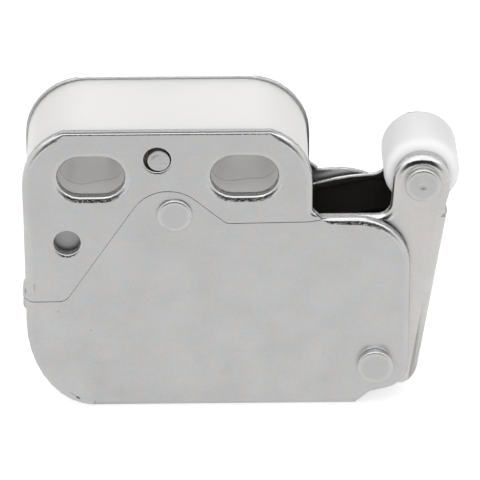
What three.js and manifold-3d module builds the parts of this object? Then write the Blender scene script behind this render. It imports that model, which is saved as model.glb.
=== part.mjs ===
// A push-to-open touch latch: a folded two-shell steel case round a moulded housing, with a sprung
// lever that carries a roller. Millimetres, +X right, -Y front, +Z up. x runs from the left edge of
// the case and z from its underside, y from the middle of its depth. The last lines centre the whole.
import * as THREE from 'three';
import { mergeVertices } from 'three/addons/utils/BufferGeometryUtils.js';
import Module from 'manifold-3d';

const wasm = await Module();
wasm.setup();

// Extra length by which a cutting body passes the face that it cuts.
const overrun = 1;

// The steel case: overall size, sheet and outer bend radius.
const caseSize = { width: 39.15, height: 32, depth: 13.1, sheet: 0.95, bend: 1.05 };

// The right edge of the upper shell, with the corners of its front and rear plates.
const shoulder = {
  fromRight: 9.95,
  cornerRadius: 6.2,
  trim: 0.33,
  rearCornerRadius: 6.35,
  filletRadius: 0.75,
  toe: 0.9,
};

// The cut-away at the top right, where the striker enters. Its rear edge stands a step lower.
const recess = { depth: 9.97, rearStep: 0.83, cornerRadius: 5.5, rearCornerRadius: 6.6 };

// The joint between the two shells: [x, z, radius], x and radius as shares of the shoulder's x and
// z as a share of the recess floor's height.
const seamShares = [
  [0, 0.578, 0],
  [0.14, 0.579, 0.045],
  [0.4726, 1.248, 0.14],
  [0.702, 0.985, 0.035],
  [0.985, 0.99, 0.02],
];
const seam = { gap: 0.06 };

// The fold that joins the plates of the upper shell at the left, and the swelling at its foot.
const sideFold = { aboveSeam: 1.85, length: 5.6 };
const swelling = { reach: 0.26, height: 1.9, taperShare: 0.7 };

// The fold that joins the plates of the lower shell at the bottom. It starts where the left corner
// ends.
const bottomFold = { fromRight: 5.5 };

// The lower corners of the lower shell: the large one at the left and the one round the pivot.
const lowerCorner = { width: 6.76, height: 10.4, foot: 0.29 };
const pivotCorner = { below: 2.56, left: 0.45, slope: 0.94, bendRound: 0.8, round: 2.8 };

// Screw slots through both plates and the housing. They and the upper hole are placed across by
// shares of the shoulder's x.
const slot = {
  width: 6.8,
  height: 4.5,
  firstShare: 0.23767,
  spacingShare: 0.5274,
  belowTop: 4.95,
  tunnelClearance: 0.1,
};

// Holes of the upper shell and the pins that show in them.
const upperHole = { xShare: 0.4661, belowTop: 2.98, radius: 1.38 };
const upperPin = {
  radius: 1.12,
  shiftX: 0.15,
  shiftZ: -0.13,
  belowFace: 0.05,
  pocketRadius: 1.75,
  pocketDepth: 2.6,
};
const lowerHole = { x: 4.39, belowTop: 12.43, radius: 1.35 };
const lowerPin = { radius: 1.75, faceGap: 0.12 };

// The rivet through the lower shell's lug and the housing, placed by shares of the seam's two sizes.
const bodyRivet = {
  xShare: 0.5233,
  zShare: 1.0345,
  headRadius: 1.78,
  headHeight: 0.4,
  edgeShare: 0.7,
  shankRadius: 1.1,
  sleeveWall: 0.45,
};

// Both case rivets end flush at the back, spread into a countersink.
const flushEnd = { flare: 0.35, depth: 0.5 };

// The pivot of the lever.
const pivot = {
  fromRight: 3.42,
  z: 5.12,
  headRadius: 1.86,
  headHeight: 0.95,
  edgeShare: 0.45,
  shankRadius: 1.25,
  sleeveWall: 0.5,
};

// The lever: a channel of its own sheet, whose web leans and whose two ears carry the roller. Here
// and below, a height given as a share is one of the recess floor's, and a place across one of the
// shoulder's x.
const lever = {
  sideGap: 0.25,
  sheet: 1,
  bend: 1.25,
  leanDeg: 8.3,
  webFoot: 2.5,
  webFromPivot: 4.78,
  webBelowRoller: 3.97,
  reach: 7.23,
  shelfBelowFloor: 0.43,
  rearShelfBelowFloor: 0.68,
  rearDrop: 1.45,
  lowShare: 0.5265,
  sagShare: 0.26,
  shelfRound: 10.7,
  earRadius: 2.77,
  earStep: 0.25,
  pivotEarRadius: 3.2,
  footRound: 2.5,
  neckFromPivot: 1.37,
  neckFillet: 1.5,
};

// The white roller and the parts that carry it.
const roller = {
  inFromWeb: 3.191,
  belowTop: 6.43,
  radius: 3.83,
  sideGap: 0.8,
  edge: 0.6,
  hubRadius: 2.1,
  hubHeight: 0.6,
  hubEdge: 0.2,
};
const rollerPin = {
  headRadius: 1.78,
  headHeight: 0.75,
  edgeShare: 0.5,
  shankRadius: 1,
  sleeveWall: 0.4,
  mark: 0.2,
};

// The black cam block in the lever, with its track and its cross pin.
const camBlock = {
  reach: 8.13,
  bottomShare: 0.463,
  lowRightShare: 0.427,
  belowFloor: 1.13,
  slope: 1.6,
  wireRoom: 2.15,
  sideGap: 0.12,
  round: 0.8,
};
const camPin = { fromPivot: 2.47, heightShare: 0.554, radius: 0.9, belowFace: 0.1 };
const track = { width: 1.5, depth: 1.3, returnDip: 3.4, returnPush: 1.5 };

// The tracking wire: where it turns in the housing, its tip at rest, and its turn per lever turn.
const wire = {
  radius: 0.4,
  acrossShare: 0.589,
  heightShare: 0.7898,
  tipFromPivot: 3.93,
  tipShare: 0.7535,
  gap: 0.3,
  bend: 0.9,
  legLength: 3.2,
  tipLength: 1,
  holeClearance: 0.12,
  turnShare: 0.3,
};
const swing = { leverDeg: 16 };

// The leaf spring that presses the wire into the track, and the stake that holds the leaf.
const leaf = { thickness: 0.2, width: 3, beforeWire: 6.2, pastWire: 9.4, gap: 0.3, endRound: 1.2 };
const leafStake = { beforeWire: 4.5, radius: 0.7, headRadius: 1.15, headHeight: 0.35, depth: 3.5 };

// The coil spring that pushes the lever out, standing on the housing's floor.
const coil = {
  fromPivot: 6.43,
  radius: 1.9,
  wireRadius: 0.28,
  turns: 6,
  stepsPerTurn: 8,
  sides: 5,
  seatGap: 0.3,
  pegRadius: 1.25,
  pegHeight: 1.8,
};

// The moulded housing.
const housing = {
  inset: 0.25,
  topInset: 0.05,
  sideGap: 0.08,
  foldGap: 0.3,
  floorTop: 2.4,
  floorPastCoil: 2.4,
  legX: 10,
  middleShare: 0.4993,
  stopFromShoulder: 6.8,
  undersideAbove: 0.5,
  round: 1.2,
  wireRoom: 3.1,
  coreWall: 1.6,
  coreFace: 3,
};

// The rubber stop that the cam block meets when the lever is pushed right in.
const bumpStop = {
  sunk: 1.2,
  proud: 1.7,
  bottomShare: 0.5765,
  topShare: 0.7127,
  frontInset: 0.8,
  backInset: 0.95,
  round: 0.5,
  fit: 0.05,
};

// Running clearances.
const turningClearance = 0.08;
const pressClearance = 0.02;

// Facets: the turn of one step round a corner, finer where it is wide, and round a small edge, and
// the segments of a full circle.
const cornerStep = THREE.MathUtils.degToRad(18);
const wideStep = THREE.MathUtils.degToRad(10);
const wideRadius = 4;
const edgeStep = THREE.MathUtils.degToRad(30);
const roundSegments = 36;
const smallSegments = 20;
const linkSegments = 4;
const curvePoints = 9;

// Places that follow from the sizes, from the case outward in.
const halfDepth = caseSize.depth / 2;
const innerHalf = halfDepth - caseSize.sheet;
const shoulderX = caseSize.width - shoulder.fromRight;
const recessFloor = caseSize.height - recess.depth;
const rearFloor = recessFloor - recess.rearStep;
const seamFoot = seamShares[0][1] * recessFloor;
const sideFoldLow = seamFoot + seam.gap + sideFold.aboveSeam;
const sideFoldHigh = sideFoldLow + sideFold.length;
const bottomFoldStart = lowerCorner.width;
const bottomFoldEnd = caseSize.width - bottomFold.fromRight;
const slotZ = caseSize.height - slot.belowTop;
const slotXs = [0, 1].map((i) => (slot.firstShare + slot.spacingShare * i) * shoulderX);
const upperHoleX = upperHole.xShare * shoulderX;
const upperHoleZ = caseSize.height - upperHole.belowTop;
const lowerHoleZ = caseSize.height - lowerHole.belowTop;
const bodyRivetX = bodyRivet.xShare * shoulderX;
const bodyRivetZ = bodyRivet.zShare * recessFloor;
const bodySleeveRadius = bodyRivet.shankRadius + bodyRivet.sleeveWall;

const leverHalf = innerHalf - lever.sideGap;
const leverInnerHalf = leverHalf - lever.sheet;
const lean = THREE.MathUtils.degToRad(lever.leanDeg);
const pivotX = caseSize.width - pivot.fromRight;
const pivotSleeveRadius = pivot.shankRadius + pivot.sleeveWall;
const rollerZ = caseSize.height - roller.belowTop;
const rollerX = webX(rollerZ) - roller.inFromWeb;
const rollerHalf = leverInnerHalf - roller.sideGap;
const rollerSleeveRadius = rollerPin.shankRadius + rollerPin.sleeveWall;
const webTop = rollerZ - lever.webBelowRoller;
const leverLeft = pivotX - lever.reach;
const leverLow = lever.lowShare * recessFloor;
const neckX = pivotX + lever.neckFromPivot;

const camLeft = pivotX - camBlock.reach;
const camBottom = camBlock.bottomShare * recessFloor;
const camTop = recessFloor - camBlock.belowFloor;
const camFront = camBlock.wireRoom - leverInnerHalf;
const camBack = leverInnerHalf - camBlock.sideGap;
const camPinX = pivotX + camPin.fromPivot;
const camPinZ = camPin.heightShare * recessFloor;
const coilX = pivotX - coil.fromPivot;

const wireY = camFront - wire.gap - wire.radius;
const wirePivot = new THREE.Vector2(wire.acrossShare * shoulderX, wire.heightShare * recessFloor);
const wireTip = new THREE.Vector2(pivotX - wire.tipFromPivot, wire.tipShare * recessFloor);
const wireLegEnd = wireY + wire.legLength;
const leafBack = wireY - wire.radius - leaf.gap;
const leafStart = wirePivot.x - leaf.beforeWire;
const leafEnd = wirePivot.x + leaf.pastWire;
const leafStakeX = wirePivot.x - leafStake.beforeWire;
const housingMiddle = housing.middleShare * recessFloor;
const housingStopX = shoulderX - housing.stopFromShoulder;
const bumpStopBox = {
  left: housingStopX - bumpStop.sunk,
  right: housingStopX + bumpStop.proud,
  bottom: bumpStop.bottomShare * recessFloor,
  top: bumpStop.topShare * recessFloor,
  front: camFront + bumpStop.frontInset,
  back: leverInnerHalf - bumpStop.backInset,
};

// Solids and outlines.

function toSolid(geometry) {
  const bare = geometry.clone();
  bare.deleteAttribute('normal');
  bare.deleteAttribute('uv');
  const welded = mergeVertices(bare);
  const mesh = new wasm.Mesh({
    numProp: 3,
    vertProperties: welded.attributes.position.array,
    triVerts: Uint32Array.from(welded.index.array),
  });
  return new wasm.Manifold(mesh);
}

function toGeometry(solid) {
  const mesh = solid.getMesh();
  const geometry = new THREE.BufferGeometry();
  geometry.setAttribute('position', new THREE.BufferAttribute(Float32Array.from(mesh.vertProperties), 3));
  geometry.setIndex(new THREE.BufferAttribute(Uint32Array.from(mesh.triVerts), 1));
  geometry.computeVertexNormals();
  return geometry;
}

function fuse(first, ...others) {
  return toGeometry(others.reduce((solid, other) => solid.add(toSolid(other)), toSolid(first)));
}

function cut(first, ...others) {
  return toGeometry(others.reduce((solid, other) => solid.subtract(toSolid(other)), toSolid(first)));
}

function common(first, other) {
  return toGeometry(toSolid(first).intersect(toSolid(other)));
}

// A closed outline through corners [x, z, radius], each corner rounded by its radius.
function roundedOutline(corners, outline = new THREE.Shape(), step = cornerStep) {
  const points = corners.map(([x, z]) => new THREE.Vector2(x, z));
  const bends = corners.map(([, , radius = 0], i) => {
    const before = points.at(i - 1).clone().sub(points[i]);
    const after = points[(i + 1) % points.length].clone().sub(points[i]);
    const length = after.length();
    const turn = Math.PI - Math.acos(THREE.MathUtils.clamp(before.normalize().dot(after.normalize()), -1, 1));
    return { before, after, length, turn, wanted: radius * Math.tan(turn / 2) };
  });
  // Two roundings that meet on one edge share its length.
  const fit = (a, b) => Math.min(1, a.length / Math.max(a.wanted + b.wanted, Number.EPSILON));
  bends.forEach(({ before, after, turn, wanted }, i) => {
    const here = points[i];
    const next = bends[(i + 1) % bends.length];
    const reach = wanted * Math.min(fit(bends.at(i - 1), bends[i]), fit(bends[i], next));
    const start = here.clone().addScaledVector(before, reach);
    if (i === 0) outline.moveTo(start.x, start.y);
    else outline.lineTo(start.x, start.y);
    if (reach === 0 || turn === 0) return;
    const middle = before.clone().add(after).normalize();
    const centre = here.clone().addScaledVector(middle, reach / Math.sin(turn / 2));
    const wide = reach / Math.tan(turn / 2) > wideRadius;
    const steps = Math.ceil(turn / (wide ? wideStep : step));
    const side = before.cross(after) > 0 ? -1 : 1;
    for (let k = 1; k <= steps; k += 1) {
      const point = start.clone().rotateAround(centre, (side * turn * k) / steps);
      outline.lineTo(point.x, point.y);
    }
  });
  return outline;
}

function circlePath(x, z, radius) {
  return new THREE.Path().absarc(x, z, radius, 0, Math.PI * 2, true);
}

function slotPath(x, z, width, height, outline = new THREE.Path()) {
  const half = width / 2;
  const rise = height / 2;
  const corners = [[x - half, z - rise], [x + half, z - rise], [x + half, z + rise], [x - half, z + rise]];
  return roundedOutline(corners.map((corner) => [...corner, rise]), outline);
}

// A slab with its outline in x and z, from one depth to another.
function slab(outline, front, back, segments = roundSegments / 2) {
  const geometry = new THREE.ExtrudeGeometry(outline, {
    depth: back - front,
    bevelEnabled: false,
    curveSegments: segments,
  });
  return geometry.rotateX(Math.PI / 2).translate(0, back, 0);
}

function boxBetween(x0, x1, y0, y1, z0, z1) {
  const box = new THREE.BoxGeometry(x1 - x0, y1 - y0, z1 - z0);
  return box.translate((x0 + x1) / 2, (y0 + y1) / 2, (z0 + z1) / 2);
}

// A solid of revolution round the line along y through x, z. The corners are [radius, y, rounding],
// first and last on the axis, from the back to the front.
function turned(corners, x, z, segments = roundSegments) {
  const points = roundedOutline(corners, new THREE.Path(), edgeStep).getPoints(1);
  return new THREE.LatheGeometry(points, segments).translate(x, 0, z);
}

function rod(x, z, radius, front, back, segments = roundSegments) {
  return turned([[0, front], [radius, front], [radius, back], [0, back]], x, z, segments);
}

// A tube along y, for sleeves.
function sleeve(x, z, inner, outer, halfLength) {
  const bore = rod(x, z, inner, -halfLength - overrun, halfLength + overrun);
  return cut(rod(x, z, outer, -halfLength, halfLength), bore);
}

// A folded channel: two legs at y = +-half joined by a web at x = 0, running along z.
function channel(half, sheet, bend, leg, length) {
  const inside = Math.max(bend - sheet, 0);
  const profile = roundedOutline([
    [leg, -half],
    [leg, -half + sheet],
    [sheet, -half + sheet, inside],
    [sheet, half - sheet, inside],
    [leg, half - sheet],
    [leg, half],
    [0, half, bend],
    [0, -half, bend],
  ]);
  return new THREE.ExtrudeGeometry(profile, { depth: length, bevelEnabled: false });
}

// The seam's corners, moved along z, with the floor of the recess that this plate has.
function seamCorners(floor, shift) {
  return seamShares.map(([x, z, radius]) => [x * shoulderX, z * floor + shift, radius * shoulderX]);
}

// The front plate's top is trimmed a little below the crown of its corners.
function mountingPlate(floor, cornerRadius, trim) {
  const { filletRadius, toe } = shoulder;
  const corners = [
    ...seamCorners(floor, seam.gap),
    [shoulderX + toe, floor + seam.gap],
    [shoulderX, floor + toe, filletRadius],
    [shoulderX, caseSize.height + trim, cornerRadius],
    [0, caseSize.height + trim, cornerRadius],
  ];
  const outline = roundedOutline(corners);
  for (const slotX of slotXs) outline.holes.push(slotPath(slotX, slotZ, slot.width, slot.height));
  outline.holes.push(circlePath(upperHoleX, upperHoleZ, upperHole.radius));
  outline.holes.push(circlePath(lowerHole.x, lowerHoleZ, lowerHole.radius));
  return outline;
}

// The swelling of a plate's left edge, upward from the seam or downward from it.
function swellingOutline(seamZ, height) {
  const { reach, taperShare } = swelling;
  const top = seamZ + height;
  const shoulderZ = seamZ + height * taperShare;
  return roundedOutline([
    [caseSize.sheet, seamZ],
    [-reach, seamZ, reach / 2],
    [-reach, shoulderZ, Math.abs(height) * (1 - taperShare)],
    [0, top],
    [caseSize.sheet, top],
  ]);
}

function makeMountingShell() {
  const { cornerRadius, rearCornerRadius, trim } = shoulder;
  const front = slab(mountingPlate(recessFloor, cornerRadius, trim), -halfDepth, -innerHalf);
  const back = slab(mountingPlate(rearFloor, rearCornerRadius, 0), innerHalf, halfDepth);
  const deep = halfDepth + overrun;
  const crown = boxBetween(-overrun, caseSize.width, -deep, deep, caseSize.height, caseSize.height + overrun);
  const corner = boxBetween(-overrun, caseSize.bend, -deep, deep, sideFoldLow, sideFoldHigh);
  const leg = caseSize.bend + caseSize.sheet;
  const fold = channel(halfDepth, caseSize.sheet, caseSize.bend, leg, sideFold.length);
  fold.translate(0, 0, sideFoldLow);
  const bulge = swellingOutline(seamFoot + seam.gap, swelling.height);
  return fuse(
    cut(front, corner, crown),
    cut(back, corner),
    fold,
    slab(bulge, -halfDepth, -innerHalf),
  );
}

// The lower shell's plate, with the large left corner as part of an ellipse.
function coverPlate(floor, cornerRadius) {
  const { width, bend } = caseSize;
  const { foot } = lowerCorner;
  const { left, slope, bendRound, round } = pivotCorner;
  const seamLine = seamCorners(floor, 0).reverse();
  const footZ = pivot.z - pivotCorner.below;
  const corners = [
    ...seamLine,
    [0, lowerCorner.height],
    ...lowerLeftCurve(),
    [bottomFoldStart, foot],
    [bottomFoldStart, bend],
    [bottomFoldEnd, bend],
    [bottomFoldEnd, foot],
    [pivotX - left, footZ - slope, bendRound],
    [width, footZ, round],
    [width, (pivot.z + recessFloor) / 2],
    [width, floor, cornerRadius],
    [shoulderX + shoulder.toe, floor],
  ];
  return roundedOutline(corners);
}

function lowerLeftCurve() {
  const { width, height, foot } = lowerCorner;
  const points = [];
  for (let i = 1; i < curvePoints; i += 1) {
    const angle = (Math.PI / 2) * (i / curvePoints);
    points.push([width * (1 - Math.cos(angle)), height - (height - foot) * Math.sin(angle)]);
  }
  return points;
}

function makeCoverShell() {
  const front = slab(coverPlate(recessFloor, recess.cornerRadius), -halfDepth, -innerHalf);
  const back = slab(coverPlate(rearFloor, recess.rearCornerRadius), innerHalf, halfDepth);
  const length = bottomFoldEnd - bottomFoldStart;
  const leg = caseSize.bend + caseSize.sheet;
  const fold = channel(halfDepth, caseSize.sheet, caseSize.bend, leg, length);
  fold.rotateY(-Math.PI / 2).translate(bottomFoldEnd, 0, 0);
  const bulge = swellingOutline(seamFoot, -swelling.height * swelling.taperShare);
  const holes = [
    countersunkHole(bodyRivetX, bodyRivetZ, bodyRivet.shankRadius + pressClearance),
    countersunkHole(pivotX, pivot.z, pivot.shankRadius + pressClearance),
  ];
  return cut(fuse(front, back, fold, slab(bulge, -halfDepth, -innerHalf)), ...holes);
}

// A cutter through both plates that opens out at the back for a rivet's flush end.
function countersunkHole(x, z, radius) {
  const slope = flushEnd.flare / flushEnd.depth;
  return turned([
    [0, -halfDepth - overrun],
    [radius, -halfDepth - overrun],
    [radius, halfDepth - flushEnd.depth],
    [radius + flushEnd.flare + slope * overrun, halfDepth + overrun],
    [0, halfDepth + overrun],
  ], x, z);
}

// The front head of a rivet and its shank up to the back face, with an optional centre mark.
function rivetFront(face, { headRadius, headHeight, shankRadius, edgeShare }, mark = 0) {
  const end = face + headHeight;
  return [
    [0, -end + mark / 2],
    [mark, -end],
    [headRadius, -end, headHeight * edgeShare],
    [headRadius, -face],
    [shankRadius, -face],
  ];
}

// A rivet that joins the case's plates, with its spread end flush at the back.
function caseRivet(x, z, sizes) {
  return turned([
    ...rivetFront(halfDepth, sizes),
    [sizes.shankRadius, halfDepth - flushEnd.depth],
    [sizes.shankRadius + flushEnd.flare, halfDepth],
    [0, halfDepth],
  ], x, z);
}

function makePivotRivet() {
  return caseRivet(pivotX, pivot.z, pivot);
}

function makePivotSleeve() {
  return sleeve(pivotX, pivot.z, pivot.shankRadius + pressClearance, pivotSleeveRadius, innerHalf);
}

function makeBodyRivet() {
  return caseRivet(bodyRivetX, bodyRivetZ, bodyRivet);
}

function makeBodySleeve() {
  return sleeve(bodyRivetX, bodyRivetZ, bodyRivet.shankRadius + pressClearance, bodySleeveRadius, innerHalf);
}

function makeRollerPin() {
  const { headRadius, headHeight, shankRadius, edgeShare, mark } = rollerPin;
  return turned([
    ...rivetFront(leverHalf, rollerPin, mark),
    [shankRadius, leverHalf],
    [headRadius, leverHalf],
    [headRadius, leverHalf + headHeight, headHeight * edgeShare],
    [0, leverHalf + headHeight],
  ], rollerX, rollerZ);
}

function makeRollerSleeve() {
  return sleeve(rollerX, rollerZ, rollerPin.shankRadius + pressClearance, rollerSleeveRadius, leverInnerHalf);
}

function makeUpperPin() {
  const { radius, shiftX, shiftZ, belowFace } = upperPin;
  const end = halfDepth - belowFace;
  const edge = belowFace * 2;
  const profile = [[0, -end], [radius, -end, edge], [radius, end, edge], [0, end]];
  return turned(profile, upperHoleX + shiftX, upperHoleZ + shiftZ);
}

function makeLowerPin() {
  const end = innerHalf - lowerPin.faceGap;
  return rod(lowerHole.x, lowerHoleZ, lowerPin.radius, -end, end);
}

function makeCamPin() {
  const end = leverHalf - camPin.belowFace;
  return rod(camPinX, camPinZ, camPin.radius, -end, end, smallSegments);
}

// A point on the web's outer face at a height, as seen from the front.
function webX(z) {
  return pivotX + lever.webFromPivot + (z - pivot.z) * Math.tan(lean);
}

// A lever plate, as if the web were not folded from it.
function leverPlate(shelf, drop) {
  const ear = lever.earRadius;
  const foot = lever.pivotEarRadius;
  const earEdge = webX(webTop) - lever.earStep;
  const corners = [
    [pivotX - foot, pivot.z - foot, foot],
    [webX(pivot.z - foot), pivot.z - foot, lever.footRound],
    [webX(webTop), webTop],
    [earEdge, webTop],
    [earEdge, rollerZ - ear, ear],
    [rollerX + ear, rollerZ - ear / 2, ear],
    [rollerX + ear, rollerZ + ear, ear],
    [rollerX - ear, rollerZ + ear, ear],
    [neckX, shelf, lever.neckFillet],
    [(neckX + leverLeft) / 2, shelf - drop * lever.sagShare, lever.shelfRound],
    [leverLeft, shelf - drop, lever.neckFillet],
    [leverLeft, leverLow, lever.neckFillet],
    [pivotX - foot, pivot.z + foot, foot],
  ];
  return roundedOutline(corners);
}

// What the fold takes from the plates' right edge, along the web.
function foldRoomOutline() {
  const room = lever.bend / Math.cos(lean);
  const low = lever.webFoot - overrun;
  return roundedOutline([
    [webX(low) - room, low],
    [webX(low) + overrun, low],
    [webX(webTop) + overrun, webTop],
    [webX(webTop) - room, webTop],
  ]);
}

function makeLever() {
  const through = leverHalf + overrun;
  const frontPlate = leverPlate(recessFloor - lever.shelfBelowFloor, 0);
  const backPlate = leverPlate(recessFloor - lever.rearShelfBelowFloor, lever.rearDrop);
  const foldRoom = slab(foldRoomOutline(), -through, through);
  const front = cut(slab(frontPlate, -leverHalf, -leverInnerHalf), foldRoom);
  const back = cut(slab(backPlate, leverInnerHalf, leverHalf), foldRoom);
  // The web's foot is trimmed to the curve of the plates.
  const foot = lever.webFoot - overrun;
  const length = (webTop - foot) / Math.cos(lean);
  const leg = lever.bend + lever.sheet;
  const folded = channel(leverHalf, lever.sheet, lever.bend, leg, length).rotateZ(Math.PI);
  folded.rotateY(lean).translate(webX(foot), 0, foot);
  const web = common(folded, slab(frontPlate, -through, through));
  const holes = [
    rod(pivotX, pivot.z, pivotSleeveRadius + turningClearance, -through, through),
    rod(rollerX, rollerZ, rollerPin.shankRadius + pressClearance, -through, through),
    rod(camPinX, camPinZ, camPin.radius + pressClearance, -through, through, smallSegments),
  ];
  return cut(fuse(front, back, web), ...holes);
}

function makeRoller() {
  const { radius, edge, hubRadius, hubHeight, hubEdge } = roller;
  const hub = rollerHalf + hubHeight;
  const bore = rollerSleeveRadius + turningClearance;
  const body = turned([
    [0, -hub],
    [hubRadius, -hub, hubEdge],
    [hubRadius, -rollerHalf, hubEdge],
    [radius, -rollerHalf, edge],
    [radius, rollerHalf, edge],
    [hubRadius, rollerHalf, hubEdge],
    [hubRadius, hub, hubEdge],
    [0, hub],
  ], rollerX, rollerZ, roundSegments + smallSegments);
  return cut(body, rod(rollerX, rollerZ, bore, -hub - overrun, hub + overrun));
}

// Where the wire's tip stands in the lever's own frame when the lever has turned by an angle.
function tipInLever(angle) {
  const leverPivot = new THREE.Vector2(pivotX, pivot.z);
  const tip = wireTip.clone().rotateAround(wirePivot, angle * wire.turnShare);
  return tip.rotateAround(leverPivot, -angle);
}

// The heart-shaped loop of the track as a row of round cutters: up one side with the lever's swing,
// back round the other.
function trackCutters() {
  const full = THREE.MathUtils.degToRad(swing.leverDeg);
  const start = tipInLever(0);
  const end = tipInLever(full);
  const dip = start.clone().lerp(end, 0.5).add(new THREE.Vector2(track.returnPush, -track.returnDip));
  const back = new THREE.QuadraticBezierCurve(end, dip, start);
  const route = [];
  for (let i = 0; i <= curvePoints; i += 1) route.push(tipInLever((full * i) / curvePoints));
  for (let i = 1; i <= curvePoints; i += 1) route.push(back.getPoint(i / curvePoints));
  const floor = camFront + track.depth;
  const links = [];
  for (let i = 1; i < route.length; i += 1) {
    links.push(slab(linkOutline(route[i - 1], route[i]), camFront - overrun, floor, linkSegments));
  }
  return links;
}

// A round-ended link between two points of the track.
function linkOutline(from, to) {
  const radius = track.width / 2;
  const along = to.clone().sub(from).angle();
  const outline = new THREE.Shape();
  outline.absarc(to.x, to.y, radius, along - Math.PI / 2, along + Math.PI / 2, false);
  outline.absarc(from.x, from.y, radius, along + Math.PI / 2, along + Math.PI * 1.5, false);
  return outline;
}

// A peg that enters one end of the coil spring, between two heights.
function springPeg(low, high) {
  const peg = new THREE.CylinderGeometry(coil.pegRadius, coil.pegRadius, high - low, smallSegments);
  return peg.rotateX(Math.PI / 2).translate(coilX, 0, (low + high) / 2);
}

function makeCamBlock() {
  const { slope, sideGap, round } = camBlock;
  const lowRight = camBlock.lowRightShare * recessFloor;
  const rightAt = (z) => webX(z) - lever.sheet / Math.cos(lean) - sideGap;
  const outline = roundedOutline([
    [camLeft, camBottom, round],
    [(camLeft + pivotX) / 2, camBottom, round],
    [pivotX, lowRight, round],
    [rightAt(lowRight), lowRight, round],
    [rightAt(camTop), camTop, round],
    [pivotX, camTop, round],
    [camLeft, camTop - slope, round],
  ]);
  const peg = springPeg(camBottom - coil.pegHeight, camBottom + overrun);
  const bored = camPin.radius + pressClearance;
  const bore = rod(camPinX, camPinZ, bored, camFront - overrun, camBack + overrun, smallSegments);
  return cut(fuse(slab(outline, camFront, camBack), peg), bore, ...trackCutters());
}

// A route of straight runs with its corners rounded.
function roundedRoute(points, bend) {
  const route = new THREE.CurvePath();
  let start = points[0];
  for (let i = 1; i < points.length - 1; i += 1) {
    const before = points[i].clone().addScaledVector(points[i - 1].clone().sub(points[i]).normalize(), bend);
    const after = points[i].clone().addScaledVector(points[i + 1].clone().sub(points[i]).normalize(), bend);
    route.add(new THREE.LineCurve3(start, before));
    route.add(new THREE.QuadraticBezierCurve3(before, points[i], after));
    start = after;
  }
  route.add(new THREE.LineCurve3(start, points.at(-1)));
  return route;
}

function makeTrackingWire() {
  const route = roundedRoute([
    new THREE.Vector3(wirePivot.x, wireLegEnd, wirePivot.y),
    new THREE.Vector3(wirePivot.x, wireY, wirePivot.y),
    new THREE.Vector3(wireTip.x, wireY, wireTip.y),
    new THREE.Vector3(wireTip.x, camFront + wire.tipLength, wireTip.y),
  ], wire.bend);
  const section = new THREE.Shape().absarc(0, 0, wire.radius, 0, Math.PI * 2, false);
  return new THREE.ExtrudeGeometry(section, {
    extrudePath: route,
    steps: smallSegments,
    bevelEnabled: false,
    curveSegments: curvePoints - 1,
  });
}

function leafOutline() {
  const low = wirePivot.y - leaf.width / 2;
  const high = wirePivot.y + leaf.width / 2;
  const corners = [[leafStart, low], [leafEnd, low], [leafEnd, high], [leafStart, high]];
  return roundedOutline(corners.map((corner) => [...corner, leaf.endRound]));
}

function makeLeafSpring() {
  const plate = slab(leafOutline(), leafBack - leaf.thickness, leafBack);
  const hole = leafStake.radius + pressClearance;
  const bore = rod(leafStakeX, wirePivot.y, hole, leafBack - overrun, leafBack + overrun, smallSegments);
  return cut(plate, bore);
}

function makeLeafStake() {
  const { radius, headRadius, headHeight, depth } = leafStake;
  const face = leafBack - leaf.thickness;
  return turned([
    [0, face - headHeight],
    [headRadius, face - headHeight, headHeight / 2],
    [headRadius, face],
    [radius, face],
    [radius, leafBack + depth],
    [0, leafBack + depth],
  ], leafStakeX, wirePivot.y, smallSegments);
}

// The coil spring as one unbroken tube.
function makeLeverSpring() {
  const { radius, wireRadius, turns, stepsPerTurn, sides, seatGap } = coil;
  const low = housing.floorTop + seatGap / 2 + wireRadius;
  const high = camBottom - seatGap / 2 - wireRadius;
  const steps = stepsPerTurn * turns;
  const centreAt = (i) => {
    const angle = (i / stepsPerTurn) * Math.PI * 2;
    const height = low + ((high - low) * i) / steps;
    return new THREE.Vector3(coilX + radius * Math.cos(angle), radius * Math.sin(angle), height);
  };
  const positions = [];
  for (let i = 0; i <= steps; i += 1) {
    const centre = centreAt(i);
    const outward = centre.clone().sub(new THREE.Vector3(coilX, 0, centre.z)).normalize();
    const up = new THREE.Vector3(0, 0, 1);
    for (let side = 0; side < sides; side += 1) {
      const angle = (side / sides) * Math.PI * 2;
      const reach = outward.clone().multiplyScalar(wireRadius * Math.cos(angle));
      const point = centre.clone().add(reach).addScaledVector(up, wireRadius * Math.sin(angle));
      positions.push(...point.toArray());
    }
  }
  const faces = [];
  for (let i = 0; i < steps; i += 1) {
    for (let side = 0; side < sides; side += 1) {
      const a = i * sides + side;
      const b = i * sides + ((side + 1) % sides);
      faces.push(a, a + sides, b, b, a + sides, b + sides);
    }
  }
  const last = steps * sides;
  for (let side = 1; side < sides - 1; side += 1) {
    faces.push(0, side, side + 1);
    faces.push(last, last + side + 1, last + side);
  }
  const geometry = new THREE.BufferGeometry();
  geometry.setAttribute('position', new THREE.Float32BufferAttribute(positions, 3));
  geometry.setIndex(faces);
  console.log('lever_spring gap between turns', ((high - low) / turns - wireRadius * 2).toFixed(2));
  return geometry;
}

function makeBumpStop() {
  const { left, right, bottom, top, front, back } = bumpStopBox;
  const { round } = bumpStop;
  const outline = roundedOutline([[left, bottom], [right, bottom, round], [right, top, round], [left, top]]);
  return slab(outline, front, back);
}

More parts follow.
